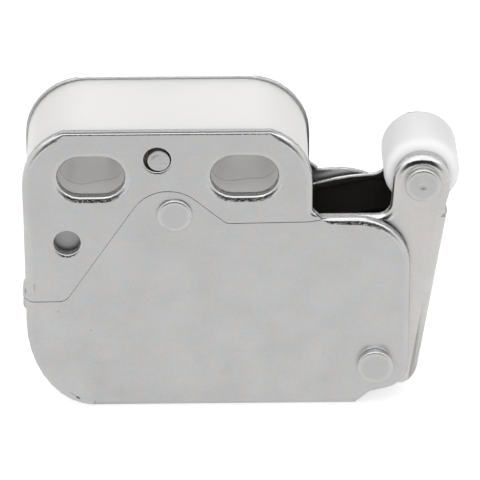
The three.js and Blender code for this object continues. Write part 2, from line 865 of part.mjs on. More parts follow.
function housingOutline() {
  const { inset, topInset, sideGap, floorTop, floorPastCoil, legX, undersideAbove, round } = housing;
  const floor = caseSize.sheet + sideGap;
  const left = inset;
  const right = shoulderX - inset;
  const floorEnd = coilX + floorPastCoil;
  const top = caseSize.height - topInset;
  const underside = recessFloor + undersideAbove;
  const corner = shoulder.rearCornerRadius;
  return roundedOutline([
    [left, floor, (lowerCorner.width + lowerCorner.height) / 2],
    [floorEnd, floor, sideGap],
    [floorEnd, floorTop, sideGap],
    [legX, floorTop, round],
    [legX, housingMiddle, round],
    [housingStopX, housingMiddle, round],
    [housingStopX, underside, round],
    [right, underside, round / 2],
    [right, top, corner],
    [left, top, corner],
  ]);
}

// What is cored, bored and cleared out of the housing.
function housingCutters() {
  return [
    ...screwTunnels(),
    ...bendRooms(),
    ...housingBores(),
    ...wirePockets(),
    ...coredPockets(),
  ];
}

function screwTunnels() {
  const through = halfDepth + overrun;
  const grow = slot.tunnelClearance * 2;
  return slotXs.map((x) => slab(roundedTunnel(x, slot.width + grow, slot.height + grow), -through, through));
}

// Room for the folds of both shells and for the inside of the lower shell's two bends.
function bendRooms() {
  const through = halfDepth + overrun;
  const foldInside = caseSize.bend - caseSize.sheet;
  const low = sideFoldLow - housing.foldGap;
  const high = sideFoldHigh + housing.foldGap;
  const rooms = [boxBetween(-overrun, caseSize.bend, -through, through, low, high)];
  for (const side of [-1, 1]) {
    const ends = [side * (innerHalf - foldInside), side * through].sort((a, b) => a - b);
    rooms.push(boxBetween(-overrun, caseSize.width, ...ends, 0, caseSize.sheet + foldInside));
  }
  return rooms;
}

function housingBores() {
  const through = halfDepth + overrun;
  const upperX = upperHoleX + upperPin.shiftX;
  const upperZ = upperHoleZ + upperPin.shiftZ;
  return [
    rod(bodyRivetX, bodyRivetZ, bodySleeveRadius + pressClearance, -through, through),
    rod(upperX, upperZ, upperPin.radius + pressClearance, -through, through),
    ...[-1, 1].map((side) => rod(upperX, upperZ, upperPin.pocketRadius, ...pinPocket(side), smallSegments)),
    rod(lowerHole.x, lowerHoleZ, lowerPin.radius + pressClearance, -through, through),
  ];
}

// From which depth to which the housing stands clear of the upper pin, on either side.
function pinPocket(side) {
  const ends = [side * (innerHalf - upperPin.pocketDepth), side * (halfDepth + overrun)];
  return ends.sort((a, b) => a - b);
}

// The pocket of the leaf spring, open at the front, and the wire's deeper one with its two bores.
function wirePockets() {
  const front = -halfDepth - overrun;
  const floor = wireY + wire.radius + wire.gap / 2;
  const low = wirePivot.y - housing.wireRoom / 2 - leaf.gap;
  const high = wirePivot.y + housing.wireRoom / 2 + leaf.gap;
  const right = housingStopX + overrun;
  const wireLeft = leafStakeX + leafStake.headRadius + leaf.gap;
  const stakeEnd = leafBack + leafStake.depth + leaf.gap;
  const stakeRadius = leafStake.radius + pressClearance;
  const wireHole = wire.radius + wire.holeClearance;
  return [
    boxBetween(leafStart - leaf.gap, right, front, leafBack + pressClearance, low, high),
    boxBetween(wireLeft, right, leafBack - overrun, floor, low, high),
    rod(wirePivot.x, wirePivot.y, wireHole, floor - overrun, wireLegEnd + wire.gap, smallSegments),
    rod(leafStakeX, wirePivot.y, stakeRadius, leafBack - overrun, stakeEnd, smallSegments),
  ];
}

// The seat of the rubber stop, and two cores that keep the walls even, open at the back.
function coredPockets() {
  const { sideGap, coreWall, coreFace, legX, floorTop, wireRoom } = housing;
  const half = innerHalf - sideGap;
  const out = half + overrun;
  const { left, right, bottom, top, front, back } = bumpStopBox;
  const { fit } = bumpStop;
  const lowerTop = housingMiddle - coreWall;
  const upperFront = wireLegEnd + wire.gap + coreWall / 2;
  const upperTop = wirePivot.y + wireRoom / 2 + leaf.gap - coreWall;
  return [
    boxBetween(left - fit, right + overrun, front - fit, back + fit, bottom - fit, top + fit),
    boxBetween(coreWall * 2, legX - coreWall, coreFace - half, out, floorTop + coreWall, lowerTop),
    boxBetween(legX + coreWall, left - coreWall, upperFront, out, housingMiddle + coreWall, upperTop),
  ];
}

function roundedTunnel(x, width, height) {
  return slotPath(x, slotZ, width, height, new THREE.Shape());
}

function makeHousing() {
  const half = innerHalf - housing.sideGap;
  const peg = springPeg(housing.floorTop - overrun, housing.floorTop + coil.pegHeight);
  return cut(fuse(slab(housingOutline(), -half, half), peg), ...housingCutters());
}

function material(color, roughness, metalness) {
  return new THREE.MeshStandardMaterial({ color, roughness, metalness });
}

const caseSteel = () => material('#c4c4c2', 0.42, 0.85);
const leverSteel = () => material('#c9c8c4', 0.4, 0.85);
const rivetSteel = () => material('#c0c0be', 0.38, 0.9);
const springSteel = () => material('#8e9092', 0.35, 0.9);
const darkSteel = () => material('#6b6c6d', 0.5, 0.8);
const whitePlastic = () => material('#ebebe8', 0.5, 0);
const blackPlastic = () => material('#12110e', 0.55, 0);
const blackRubber = () => material('#1b1b1b', 0.85, 0);

function named(name, geometry, look) {
  const mesh = new THREE.Mesh(geometry, look);
  mesh.name = name;
  return mesh;
}

const latch = new THREE.Group();
latch.name = 'touch_latch';
latch.add(
  named('mounting_shell', makeMountingShell(), caseSteel()),
  named('cover_shell', makeCoverShell(), caseSteel()),
  named('housing', makeHousing(), whitePlastic()),
  named('lever', makeLever(), leverSteel()),
  named('roller', makeRoller(), whitePlastic()),
  named('roller_sleeve', makeRollerSleeve(), rivetSteel()),
  named('roller_pin', makeRollerPin(), rivetSteel()),
  named('pivot_rivet', makePivotRivet(), rivetSteel()),
  named('pivot_sleeve', makePivotSleeve(), rivetSteel()),
  named('body_rivet', makeBodyRivet(), rivetSteel()),
  named('body_sleeve', makeBodySleeve(), rivetSteel()),
  named('upper_pin', makeUpperPin(), rivetSteel()),
  named('lower_pin', makeLowerPin(), darkSteel()),
  named('cam_block', makeCamBlock(), blackPlastic()),
  named('cam_pin', makeCamPin(), rivetSteel()),
  named('tracking_wire', makeTrackingWire(), springSteel()),
  named('leaf_spring', makeLeafSpring(), springSteel()),
  named('leaf_stake', makeLeafStake(), whitePlastic()),
  named('lever_spring', makeLeverSpring(), springSteel()),
  named('bump_stop', makeBumpStop(), blackRubber()),
);

// The origin lies under the middle of the whole latch, from the swelling to the roller and from the
// pivot's head to the back plate.
latch.position.x = (swelling.reach - rollerX - roller.radius) / 2;
latch.position.y = pivot.headHeight / 2;

export default latch;
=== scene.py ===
import math

import bmesh
import bpy
from mathutils import Matrix, Vector
from mathutils.bvhtree import BVHTree


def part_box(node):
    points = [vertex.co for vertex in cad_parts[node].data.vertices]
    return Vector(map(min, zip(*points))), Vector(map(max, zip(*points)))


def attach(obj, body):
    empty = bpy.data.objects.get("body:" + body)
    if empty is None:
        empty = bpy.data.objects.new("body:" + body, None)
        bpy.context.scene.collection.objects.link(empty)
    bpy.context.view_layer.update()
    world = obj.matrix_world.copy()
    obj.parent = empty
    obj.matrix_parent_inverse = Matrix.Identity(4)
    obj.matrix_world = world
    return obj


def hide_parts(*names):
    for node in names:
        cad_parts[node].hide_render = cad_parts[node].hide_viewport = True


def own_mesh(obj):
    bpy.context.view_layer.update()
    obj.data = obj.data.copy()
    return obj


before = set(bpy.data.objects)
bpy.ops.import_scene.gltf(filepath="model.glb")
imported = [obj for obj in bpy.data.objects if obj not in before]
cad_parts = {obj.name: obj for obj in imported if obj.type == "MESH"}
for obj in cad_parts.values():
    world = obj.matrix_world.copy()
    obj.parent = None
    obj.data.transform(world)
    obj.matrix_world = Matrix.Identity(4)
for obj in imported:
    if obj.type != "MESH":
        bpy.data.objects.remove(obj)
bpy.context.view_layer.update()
mm = 0.001
print("frame loaded:", len(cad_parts), "nodes")

# The case in the frame, from which the places below are measured
halfDepth = 6.55 * mm
leverHalfDepth = 5.35 * mm
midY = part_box("cover_shell")[1].y - halfDepth
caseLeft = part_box("housing")[0].x - 0.25 * mm

scene = bpy.context.scene
scene.view_settings.view_transform = "Standard"


# Short forms for the nodes that are used most

def addNode(tree, kind, inputs=None, **settings):
    made = tree.nodes.new(kind)
    for key, value in settings.items():
        setattr(made, key, value)
    for key, value in (inputs or {}).items():
        if isinstance(value, bpy.types.NodeSocket):
            tree.links.new(value, made.inputs[key])
        else:
            made.inputs[key].default_value = value
    return made


def nodeOut(tree, kind, inputs=None, **settings):
    return addNode(tree, kind, inputs, **settings).outputs[0]


def mathNode(tree, operation, a, b=0.0, clamp=False):
    return nodeOut(tree, "ShaderNodeMath", {0: a, 1: b}, operation=operation, use_clamp=clamp)


def plus(tree, a, b, clamp=False):
    return mathNode(tree, "ADD", a, b, clamp)


def minus(tree, a, b):
    return mathNode(tree, "SUBTRACT", a, b)


def times(tree, a, b, clamp=False):
    return mathNode(tree, "MULTIPLY", a, b, clamp)


def apart(tree, a, b):
    return mathNode(tree, "ABSOLUTE", minus(tree, a, b))


def split(tree, vector):
    return addNode(tree, "ShaderNodeSeparateXYZ", {"Vector": vector}).outputs


def joined(tree, x=0.0, y=0.0, z=0.0):
    return nodeOut(tree, "ShaderNodeCombineXYZ", {"X": x, "Y": y, "Z": z})


def stretched(tree, vector, scale):
    return nodeOut(tree, "ShaderNodeVectorMath", {0: vector, 1: scale}, operation="MULTIPLY")


def noiseNode(tree, vector, scale, detail=3.0, rough=0.5):
    return addNode(tree, "ShaderNodeTexNoise", {
        "Vector": vector, "Scale": scale, "Detail": detail, "Roughness": rough,
    }).outputs["Fac"]


def centredNoise(tree, vector, scale, detail=3.0, rough=0.5):
    return minus(tree, noiseNode(tree, vector, scale, detail, rough), 0.5)


def rampNode(tree, value, low, high, toLow=0.0, toHigh=1.0):
    return nodeOut(tree, "ShaderNodeMapRange", {
        "Value": value, "From Min": low, "From Max": high, "To Min": toLow, "To Max": toHigh,
    }, interpolation_type="SMOOTHSTEP")


def mixValues(tree, share, low, high):
    return nodeOut(tree, "ShaderNodeMix", {"Factor": share, "A": low, "B": high})


def mixColours(tree, share, low, high):
    return addNode(tree, "ShaderNodeMix", {0: share, 6: low, 7: high}, data_type="RGBA").outputs[2]


def newTree(kind, name, inputs, outputs):
    # a socket is given by its kind, or by the number that it starts with
    tree = bpy.data.node_groups.new(name, kind)
    for way, sockets in (("OUTPUT", outputs), ("INPUT", inputs)):
        for label, value in sockets.items():
            socketKind = value if isinstance(value, str) else "Float"
            socket = tree.interface.new_socket(label, in_out=way, socket_type="NodeSocket" + socketKind)
            if socketKind != value:
                socket.default_value = value
    return tree, addNode(tree, "NodeGroupInput").outputs


def clearedTree(owner):
    owner.use_nodes = True
    owner.node_tree.nodes.clear()
    return owner.node_tree


def addObject(name, data):
    made = bpy.data.objects.new(name, data)
    scene.collection.objects.link(made)
    return made



# Camera, lamps, floor

cameraView = {
    "azimuthDeg": -0.8,
    "elevationDeg": 29.374,
    "rollDeg": -0.105,
    "distance": 386.5 * mm,
    "lensMm": 286.9,
    "sensorMm": 36,
    "clip": (0.01, 20),
    "target": Vector((-0.07, -6.075, 19.82)) * mm,
}


def makeCamera(values):
    azimuth, elevation, roll = (math.radians(values[k]) for k in ("azimuthDeg", "elevationDeg", "rollDeg"))
    forward = Vector((
        -math.sin(azimuth) * math.cos(elevation),
        math.cos(azimuth) * math.cos(elevation),
        -math.sin(elevation),
    ))
    level = Vector((math.cos(azimuth), math.sin(azimuth), 0))
    upward = level.cross(forward)
    right = level * math.cos(roll) + upward * math.sin(roll)
    up = right.cross(forward)
    data = bpy.data.cameras.new("photoCamera")
    data.lens = values["lensMm"]
    data.sensor_width = values["sensorMm"]
    data.clip_start, data.clip_end = values["clip"]
    camera = addObject("photoCamera", data)
    camera.matrix_world = Matrix((right, up, -forward)).transposed().to_4x4()
    camera.location = values["target"] - forward * values["distance"]
    scene.camera = camera


studio = {
    "worldLight": 0.82,     # what falls on matt surfaces from all round
    # what mirrors see: the floor's side, the dark band, the ceiling and the sides
    "mirrorLow": 1.0, "mirrorBand": 0.04, "mirrorTop": 1.9, "mirrorSides": 1.3,
    "bandFrom": -0.16, "bandTo": 0.35, "bandFade": 0.11,     # heights, as sines of the elevation
    "sidesFrom": 0.3, "sidesTo": 0.7,                        # how far sideways, likewise
    "floorColour": 0.64, "floorLift": 0.62, "floorReach": 0.11, "floorDrop": 0.02 * mm,
}
lamps = {
    "keyLamp": {"watts": 0.20, "size": 0.30, "place": (-0.20, -0.25, 0.55), "inMirror": True},
    "fillLamp": {"watts": 0.15, "size": 0.30, "place": (0.40, -0.10, 0.45), "inMirror": True},
    "rimLamp": {"watts": 0.10, "size": 0.30, "place": (0.05, 0.45, 0.45), "inMirror": True},
    "frontLamp": {"watts": 1.75, "size": 0.50, "place": (0.0, -0.60, 0.16), "inMirror": False},
}
lampAim = Vector((0, 0, 0.015))


def makeWorld(values):
    world = bpy.data.worlds.new("paleStudio")
    scene.world = world
    tree = clearedTree(world)
    towards = split(tree, addNode(tree, "ShaderNodeTexCoord").outputs["Generated"])
    # a dark band low round the room, which the rolled edges of metal pick up, under a bright ceiling
    start, end, fade = values["bandFrom"], values["bandTo"], values["bandFade"]
    below = rampNode(tree, towards["Z"], start - fade, start, values["mirrorLow"], values["mirrorBand"])
    above = rampNode(tree, towards["Z"], end, end + fade, 0.0, values["mirrorTop"])
    sideways = mathNode(tree, "ABSOLUTE", towards["X"])
    sides = rampNode(tree, sideways, values["sidesFrom"], values["sidesTo"], 0.0, values["mirrorSides"])
    room = mathNode(tree, "MAXIMUM", plus(tree, below, above), sides)
    path = addNode(tree, "ShaderNodeLightPath").outputs
    mirrored = mathNode(tree, "MAXIMUM", path["Is Glossy Ray"], path["Is Transmission Ray"])
    strength = mixValues(tree, mirrored, values["worldLight"], room)
    strength = mixValues(tree, path["Is Camera Ray"], strength, 1.0)
    back = nodeOut(tree, "ShaderNodeBackground", {"Color": (1, 1, 1, 1), "Strength": strength})
    addNode(tree, "ShaderNodeOutputWorld", {"Surface": back})


def addLamp(name, values):
    data = bpy.data.lights.new(name, "AREA")
    data.energy, data.size = values["watts"], values["size"]
    lamp = addObject(name, data)
    lamp.location = values["place"]
    lamp.rotation_euler = (lampAim - Vector(values["place"])).to_track_quat("-Z", "Y").to_euler()
    lamp.visible_glossy = values["inMirror"]


def makeFloor(values):
    mesh = bpy.data.meshes.new("floor")
    reach, drop = values["floorReach"], values["floorDrop"]
    corners = [(-reach, -reach), (reach, -reach), (reach, reach), (-reach, reach)]
    mesh.from_pydata([(x, y, -drop) for x, y in corners], [], [(0, 1, 2, 3)])
    material = bpy.data.materials.new("floorPaper")
    mesh.materials.append(material)
    tree = clearedTree(material)
    path = addNode(tree, "ShaderNodeLightPath").outputs
    seen = mathNode(tree, "MAXIMUM", path["Is Camera Ray"], path["Is Glossy Ray"])
    seen = mathNode(tree, "MAXIMUM", seen, path["Is Transmission Ray"])
    lift = times(tree, seen, values["floorLift"])
    paper = nodeOut(tree, "ShaderNodeBsdfDiffuse", {"Color": (*[values["floorColour"]] * 3, 1)})
    glow = nodeOut(tree, "ShaderNodeEmission", {"Color": (1, 1, 1, 1), "Strength": lift})
    both = nodeOut(tree, "ShaderNodeAddShader", {0: paper, 1: glow})
    addNode(tree, "ShaderNodeOutputMaterial", {"Surface": both})
    addObject("floor", mesh)


makeCamera(cameraView)
makeWorld(studio)
makeFloor(studio)
for name, values in lamps.items():
    addLamp(name, values)
print("camera, lamps and floor made")


# Shader groups that several finishes share

mottleShares = {
    "lineStretch": 0.03,                        # rolling lines are noise drawn out along the sheet
    "patchScale": 3.5,                          # tinted patches against the clouds
    "cloudRough": 0.25, "fineRough": 0.6,       # how much of each shade change the roughness follows
}
wearLevels = {
    "breakLow": 0.25, "breakHigh": 0.5, "leastRubbed": 0.35,      # where the rubbing is broken up
    "crumbLow": 0.43, "crumbHigh": 0.48,                          # which noise counts as torn metal
}


def makeMottle(shares):
    # slow clouds, fine grain and faint rolling lines over a surface
    tree, given = newTree("ShaderNodeTree", "surfaceMottle", {
        "Vector": "Vector", "Colour": "Color", "Roughness": 0.4, "Cloud Scale": 260.0, "Cloud Amount": 0.12,
        "Grain Scale": 6000.0, "Grain Amount": 0.06, "Line Amount": 0.05, "Tint Amount": 0.0,
    }, {"Colour": "Color", "Roughness": "Float", "Height": "Float"})
    place = given["Vector"]
    cloud = centredNoise(tree, place, given["Cloud Scale"], 4.0, 0.6)
    grain = centredNoise(tree, place, given["Grain Scale"], 2.0)
    along = stretched(tree, place, (shares["lineStretch"], 1.0, 1.0))
    lines = centredNoise(tree, along, given["Grain Scale"], 1.0)
    fine = plus(tree, times(tree, grain, given["Grain Amount"]), times(tree, lines, given["Line Amount"]))
    tone = plus(tree, plus(tree, times(tree, cloud, given["Cloud Amount"]), fine), 1.0)
    # patches that are faintly warm or cool
    patches = centredNoise(tree, place, times(tree, given["Cloud Scale"], shares["patchScale"]), 1.0)
    tint = times(tree, patches, given["Tint Amount"])
    tints = joined(tree, plus(tree, tone, tint), tone, minus(tree, tone, tint))
    rough = plus(tree, times(tree, cloud, shares["cloudRough"]), times(tree, fine, shares["fineRough"]))
    addNode(tree, "NodeGroupOutput", {
        "Colour": stretched(tree, given["Colour"], tints),
        "Roughness": plus(tree, given["Roughness"], rough, True),
        "Height": plus(tree, grain, lines),
    })
    return tree


def makeSpecks():
    # a few small dots scattered at random
    tree, given = newTree("ShaderNodeTree", "scatteredSpecks", {
        "Vector": "Vector", "Scale": 500.0, "Size": 0.12, "Share": 0.05}, {"Mask": "Float"})
    cells = addNode(tree, "ShaderNodeTexVoronoi", {
        "Vector": given["Vector"], "Scale": given["Scale"]}).outputs
    drawn = nodeOut(tree, "ShaderNodeSeparateColor", {"Color": cells["Color"]})
    chosen = mathNode(tree, "LESS_THAN", drawn, given["Share"])
    near = mathNode(tree, "LESS_THAN", cells["Distance"], given["Size"])
    addNode(tree, "NodeGroupOutput", {"Mask": times(tree, chosen, near)})
    return tree


def makeRubbedAndGlint(levels):
    # edges given a brighter, smoother metal, partly as wear and partly as a painted highlight on the
    # up-facing rolled strips and the rivet walls, broken up so that no edge is even
    tree, given = newTree("ShaderNodeTree", "rubbedEdgeAndGlint", {
        "Vector": "Vector", "Colour": "Color", "Roughness": 0.4, "Rubbed And Glint Colour": "Color",
        "Rubbed Roughness": 0.25, "Break Scale": 900.0, "Amount": 0.9, "Burr Scale": 6500.0, "Burr": 1.0,
    }, {"Colour": "Color", "Roughness": "Float", "Height": "Float", "Crumbs And Shade": "Float"})
    place = given["Vector"]
    edge = addNode(tree, "ShaderNodeAttribute", attribute_name="edge").outputs["Fac"]
    patches = noiseNode(tree, place, given["Break Scale"], 3.0)
    broken = rampNode(tree, patches, levels["breakLow"], levels["breakHigh"], levels["leastRubbed"], 1.0)
    mask = times(tree, times(tree, edge, broken), given["Amount"], True)
    # where the punch has torn the sheet, its rounded edge is pitted; the same dark crumbs along the
    # down-facing corners of a roll are a painted shade line
    torn = addNode(tree, "ShaderNodeAttribute", attribute_name="burrAndShade").outputs["Fac"]
    crumbs = noiseNode(tree, place, given["Burr Scale"], 2.0, 0.8)
    pitted = rampNode(tree, crumbs, levels["crumbLow"], levels["crumbHigh"])
    addNode(tree, "NodeGroupOutput", {
        "Colour": mixColours(tree, mask, given["Colour"], given["Rubbed And Glint Colour"]),
        "Roughness": mixValues(tree, mask, given["Roughness"], given["Rubbed Roughness"]),
        "Height": times(tree, times(tree, crumbs, torn), given["Burr"]),
        "Crumbs And Shade": times(tree, pitted, torn),
    })
    return tree


mottle, specks, rubbedAndGlint = makeMottle(mottleShares), makeSpecks(), makeRubbedAndGlint(wearLevels)


def placeGroup(tree, group, inputs):
    return addNode(tree, "ShaderNodeGroup", inputs, node_tree=group).outputs


# Finishes

def grey(value, warm=0.0):
    return (value * (1 + warm), value, value * (1 - warm), 1)


def darkened(tree, colour, mask, dark):
    return mixColours(tree, mask, colour, grey(dark))


def startMaterial(name):
    material = bpy.data.materials.new(name)
    tree = clearedTree(material)
    return material, tree, addNode(tree, "ShaderNodeTexCoord").outputs["Object"]


def finishSurface(tree, looks, height, bump, bumpDepth=0.02 * mm):
    relief = nodeOut(tree, "ShaderNodeBump", {"Strength": bump, "Distance": bumpDepth, "Height": height})
    surface = nodeOut(tree, "ShaderNodeBsdfPrincipled", {**looks, "Normal": relief})
    addNode(tree, "ShaderNodeOutputMaterial", {"Surface": surface})


# marks of wear on the front: x, z, half length, half width in mm, turned by degrees, strength
caseStrokes = [
    (5.10, 1.30, 0.33, 0.12, -32, 1.0), (4.55, 1.75, 0.60, 0.05, -35, 0.5), (0.03, 13.7, 0.05, 0.50, 0, 0.8),
    (6.6, 9.4, 0.12, 0.10, 0, 0.45), (3.3, 11.6, 0.10, 0.09, 0, 0.45), (30.4, 6.3, 0.08, 0.08, 0, 0.4),
]
pinStrokes = [
    (13.35, 29.45, 0.60, 0.05, 28, 0.8), (13.2, 29.2, 0.45, 0.04, 32, 0.6),
    (13.75, 29.5, 0.30, 0.04, 20, 0.5),
]
strokeEnds = {"raggedScale": 9000.0, "ragged": 0.9, "full": 0.7, "gone": 1.4}
steelValues = {
    "grey": 0.44, "warm": 0.004, "rough": 0.34,
    "cloudScale": 230.0, "cloud": 0.37, "grain": 0.19, "lines": 0.04, "tint": 0.12, "bump": 0.04,
    "pits": 0.03, "pitScale": 420.0, "pitSize": 0.045, "pitGreyShare": 0.6,
    # the rubbed edge colour is partly wear and partly a painted highlight; the dark crumb grey also paints
    # shade under down-facing rims and the wear strokes
    "edgeWearAndGlintGrey": 0.47, "edgeRough": 0.12, "burrAndShade": 2.5, "darkMarkAndShadeGrey": 0.05, "strokes": [],
}
cutValues = {
    "outer": halfDepth, "burnished": 0.42 * mm, "wobble": 0.35 * mm, "fade": 0.06 * mm,
    "streakScale": 3500.0, "streakStretch": (1.0, 0.25, 1.0),
    "grainScale": 9000.0, "grainRange": (0.38, 0.62), "darkGrey": 0.30, "lightGrey": 0.70,
    "brightGrey": 0.62, "burnishedRough": 0.28, "brokenRough": 0.6, "bump": 0.8, "bumpDepth": 0.06 * mm,
}
partingValues = {
    "at": midY - 2.9 * mm, "width": 0.22 * mm, "wave": 2.0 * mm, "waveScale": 300.0,
    "strength": 0.32, "grey": 0.2,
    # the box round both screw tunnels, outside of which there is no line: its middle and half its size
    "box": {"X": (caseLeft + 14.65 * mm, 12.0 * mm), "Z": (27.05 * mm, 2.7 * mm)},
}
plasticValues = {
    "warm": 0.0, "cloudScale": 180.0, "grain": 0.01, "dustScale": 300.0, "dustSize": 0.05,
    "milkDepth": 3.0 * mm, "milkTint": (1.0, 0.98, 0.95), "parting": None,
}
whiteValues = {
    **plasticValues, "grey": 0.80, "warm": 0.010, "rough": 0.42, "cloud": 0.02, "dust": 0.004,
    "dustGrey": 0.30, "gloss": 0.4, "milky": 0.6, "bump": 0.04, "parting": partingValues,
}
rollerValues = {
    **plasticValues, "grey": 0.775, "rough": 0.40, "cloud": 0.02, "dust": 0.002,
    "dustGrey": 0.5, "gloss": 0.3, "milky": 0.7, "bump": 0.03,
}
blackValues = {
    **plasticValues, "grey": 0.004, "warm": 0.15, "rough": 0.75, "cloud": 0.3, "dust": 0.0,
    "dustGrey": 0.05, "gloss": 0.03, "milky": 0.0, "bump": 0.10,
}
rubberValues = {
    **plasticValues, "grey": 0.012, "rough": 0.85, "cloud": 0.3, "dust": 0.05,
    "dustGrey": 0.08, "gloss": 0.2, "milky": 0.0, "bump": 0.2,
}


def strokeMask(tree, place, stroke):
    # one short stroke at x, z of the case, with ragged ends
    x, z, halfLength, halfWidth, turnDeg, strength = stroke
    parts = split(tree, place)
    right = minus(tree, parts["X"], caseLeft + x * mm)
    up = minus(tree, parts["Z"], z * mm)
    cosine, sine = math.cos(math.radians(turnDeg)), math.sin(math.radians(turnDeg))
    along = plus(tree, times(tree, right, cosine), times(tree, up, sine))
    aside = minus(tree, times(tree, up, cosine), times(tree, right, sine))
    along = mathNode(tree, "POWER", mathNode(tree, "DIVIDE", along, halfLength * mm), 2.0)
    aside = mathNode(tree, "POWER", mathNode(tree, "DIVIDE", aside, halfWidth * mm), 2.0)
    ragged = times(tree, noiseNode(tree, place, strokeEnds["raggedScale"], 2.0), strokeEnds["ragged"])
    away = plus(tree, plus(tree, along, aside), ragged)
    return rampNode(tree, away, strokeEnds["full"], strokeEnds["gone"], strength, 0.0)


def makeSteel(name, changes):
    # zinc plate over sheet: soft cloudy grey, rubbed on the edges partly as wear and partly as a painted
    # highlight, with a painted shade line under down-facing rims
    values = {**steelValues, **changes}
    material, tree, place = startMaterial(name)
    plate = placeGroup(tree, mottle, {
        "Vector": place, "Colour": grey(values["grey"], values["warm"]), "Roughness": values["rough"],
        "Cloud Scale": values["cloudScale"], "Cloud Amount": values["cloud"],
        "Grain Amount": values["grain"], "Line Amount": values["lines"], "Tint Amount": values["tint"],
    })
    edged = placeGroup(tree, rubbedAndGlint, {
        "Vector": place, "Colour": plate["Colour"], "Roughness": plate["Roughness"],
        "Rubbed And Glint Colour": grey(values["edgeWearAndGlintGrey"]), "Rubbed Roughness": values["edgeRough"],
    })
    dots = placeGroup(tree, specks, {
        "Vector": place, "Scale": values["pitScale"], "Size": values["pitSize"], "Share": values["pits"]})
    colour = darkened(tree, edged["Colour"], dots["Mask"], values["grey"] * values["pitGreyShare"])
    # dark torn crumbs, which along down-facing rims are a painted shade line
    colour = darkened(tree, colour, edged["Crumbs And Shade"], values["darkMarkAndShadeGrey"])
    for stroke in values["strokes"]:
        colour = darkened(tree, colour, strokeMask(tree, place, stroke), values["darkMarkAndShadeGrey"])
    fine = times(tree, plate["Height"], values["bump"])
    height = plus(tree, fine, times(tree, edged["Height"], values["burrAndShade"]))
    finishSurface(tree, {"Metallic": 1.0, "Base Color": colour, "Roughness": edged["Roughness"]}, height, 1.0)
    return material


def makeCutEdge(name, changes):
    # a sheared edge: a bright burnished strip outside and a dark broken one inside
    values = {**cutValues, **changes}
    material, tree, place = startMaterial(name)
    drawnOut = stretched(tree, place, values["streakStretch"])
    streaks = centredNoise(tree, drawnOut, values["streakScale"], 3.0, 0.7)
    line = plus(tree, apart(tree, split(tree, place)["Y"], midY), times(tree, streaks, values["wobble"]))
    border = values["outer"] - values["burnished"]
    broken = rampNode(tree, line, border - values["fade"], border + values["fade"], 1.0, 0.0)
    grains = noiseNode(tree, place, values["grainScale"], 2.0, 0.8)
    tone = rampNode(tree, grains, *values["grainRange"], values["darkGrey"], values["lightGrey"])
    tone = mixValues(tree, broken, values["brightGrey"], tone)
    colour = nodeOut(tree, "ShaderNodeCombineColor", {"Red": tone, "Green": tone, "Blue": tone})
    rough = mixValues(tree, broken, values["burnishedRough"], values["brokenRough"])
    looks = {"Metallic": 1.0, "Base Color": colour, "Roughness": rough}
    finishSurface(tree, looks, times(tree, grains, broken), values["bump"], values["bumpDepth"])
    return material


def partingLine(tree, place, values):
    # the line where the two halves of the mould met in the screw tunnels, wandering a little
    parts = split(tree, place)
    wave = centredNoise(tree, joined(tree, x=parts["X"], z=parts["Z"]), values["waveScale"], 0.0)
    course = plus(tree, parts["Y"], times(tree, wave, values["wave"]))
    line = rampNode(tree, apart(tree, course, values["at"]), 0.0, values["width"], 1.0, 0.0)
    for label, (middle, half) in values["box"].items():
        line = times(tree, line, mathNode(tree, "LESS_THAN", apart(tree, parts[label], middle), half))
    return line


def makePlastic(name, values):
    # moulded plastic: even, with slow shade changes and a few specks of dust
    material, tree, place = startMaterial(name)
    skin = placeGroup(tree, mottle, {
        "Vector": place, "Colour": grey(values["grey"], values["warm"]), "Roughness": values["rough"],
        "Cloud Scale": values["cloudScale"], "Cloud Amount": values["cloud"],
        "Grain Amount": values["grain"], "Line Amount": 0.0,
    })
    dots = placeGroup(tree, specks, {
        "Vector": place, "Scale": values["dustScale"], "Size": values["dustSize"], "Share": values["dust"]})
    colour = darkened(tree, skin["Colour"], dots["Mask"], values["dustGrey"])
    if values["parting"]:
        parting = values["parting"]
        line = times(tree, partingLine(tree, place, parting), parting["strength"])
        colour = darkened(tree, colour, line, parting["grey"])
    looks = {
        "Base Color": colour, "Roughness": skin["Roughness"], "Specular IOR Level": values["gloss"],
        "Subsurface Weight": values["milky"], "Subsurface Scale": values["milkDepth"],
        "Subsurface Radius": values["milkTint"],
    }
    finishSurface(tree, looks, skin["Height"], values["bump"])
    return material


caseSteel = makeSteel("caseSteel", {"strokes": caseStrokes})
leverSteel = makeSteel("leverSteel", {"grey": 0.485, "warm": 0.025, "cloudScale": 300.0})
# the rivet walls take its bright rubbed colour as a painted highlight ring
rivetSteel = makeSteel("rivetSteel", {
    "grey": 0.42, "rough": 0.32, "cloud": 0.10, "cloudScale": 900.0, "edgeWearAndGlintGrey": 0.80, "edgeRough": 0.18})
pinSteel = makeSteel("pinSteel", {"grey": 0.42, "rough": 0.36, "lines": 0.25, "strokes": pinStrokes})
springSteel = makeSteel("springSteel", {"grey": 0.30, "rough": 0.30, "lines": 0.10, "pits": 0.0})
darkSteel = makeSteel("darkSteel", {"grey": 0.33, "rough": 0.50, "cloud": 0.3, "cloudScale": 900.0})
caseCut = makeCutEdge("caseCutEdge", {})
leverCut = makeCutEdge("leverCutEdge", {"outer": leverHalfDepth, "burnished": 0.6 * mm})
whitePlastic = makePlastic("whitePlastic", whiteValues)
rollerPlastic = makePlastic("rollerPlastic", rollerValues)
blackPlastic = makePlastic("blackPlastic", blackValues)
blackRubber = makePlastic("blackRubber", rubberValues)
print("materials made:", len(bpy.data.materials))


# Finished copies of the CAD nodes: welded, their edges rounded

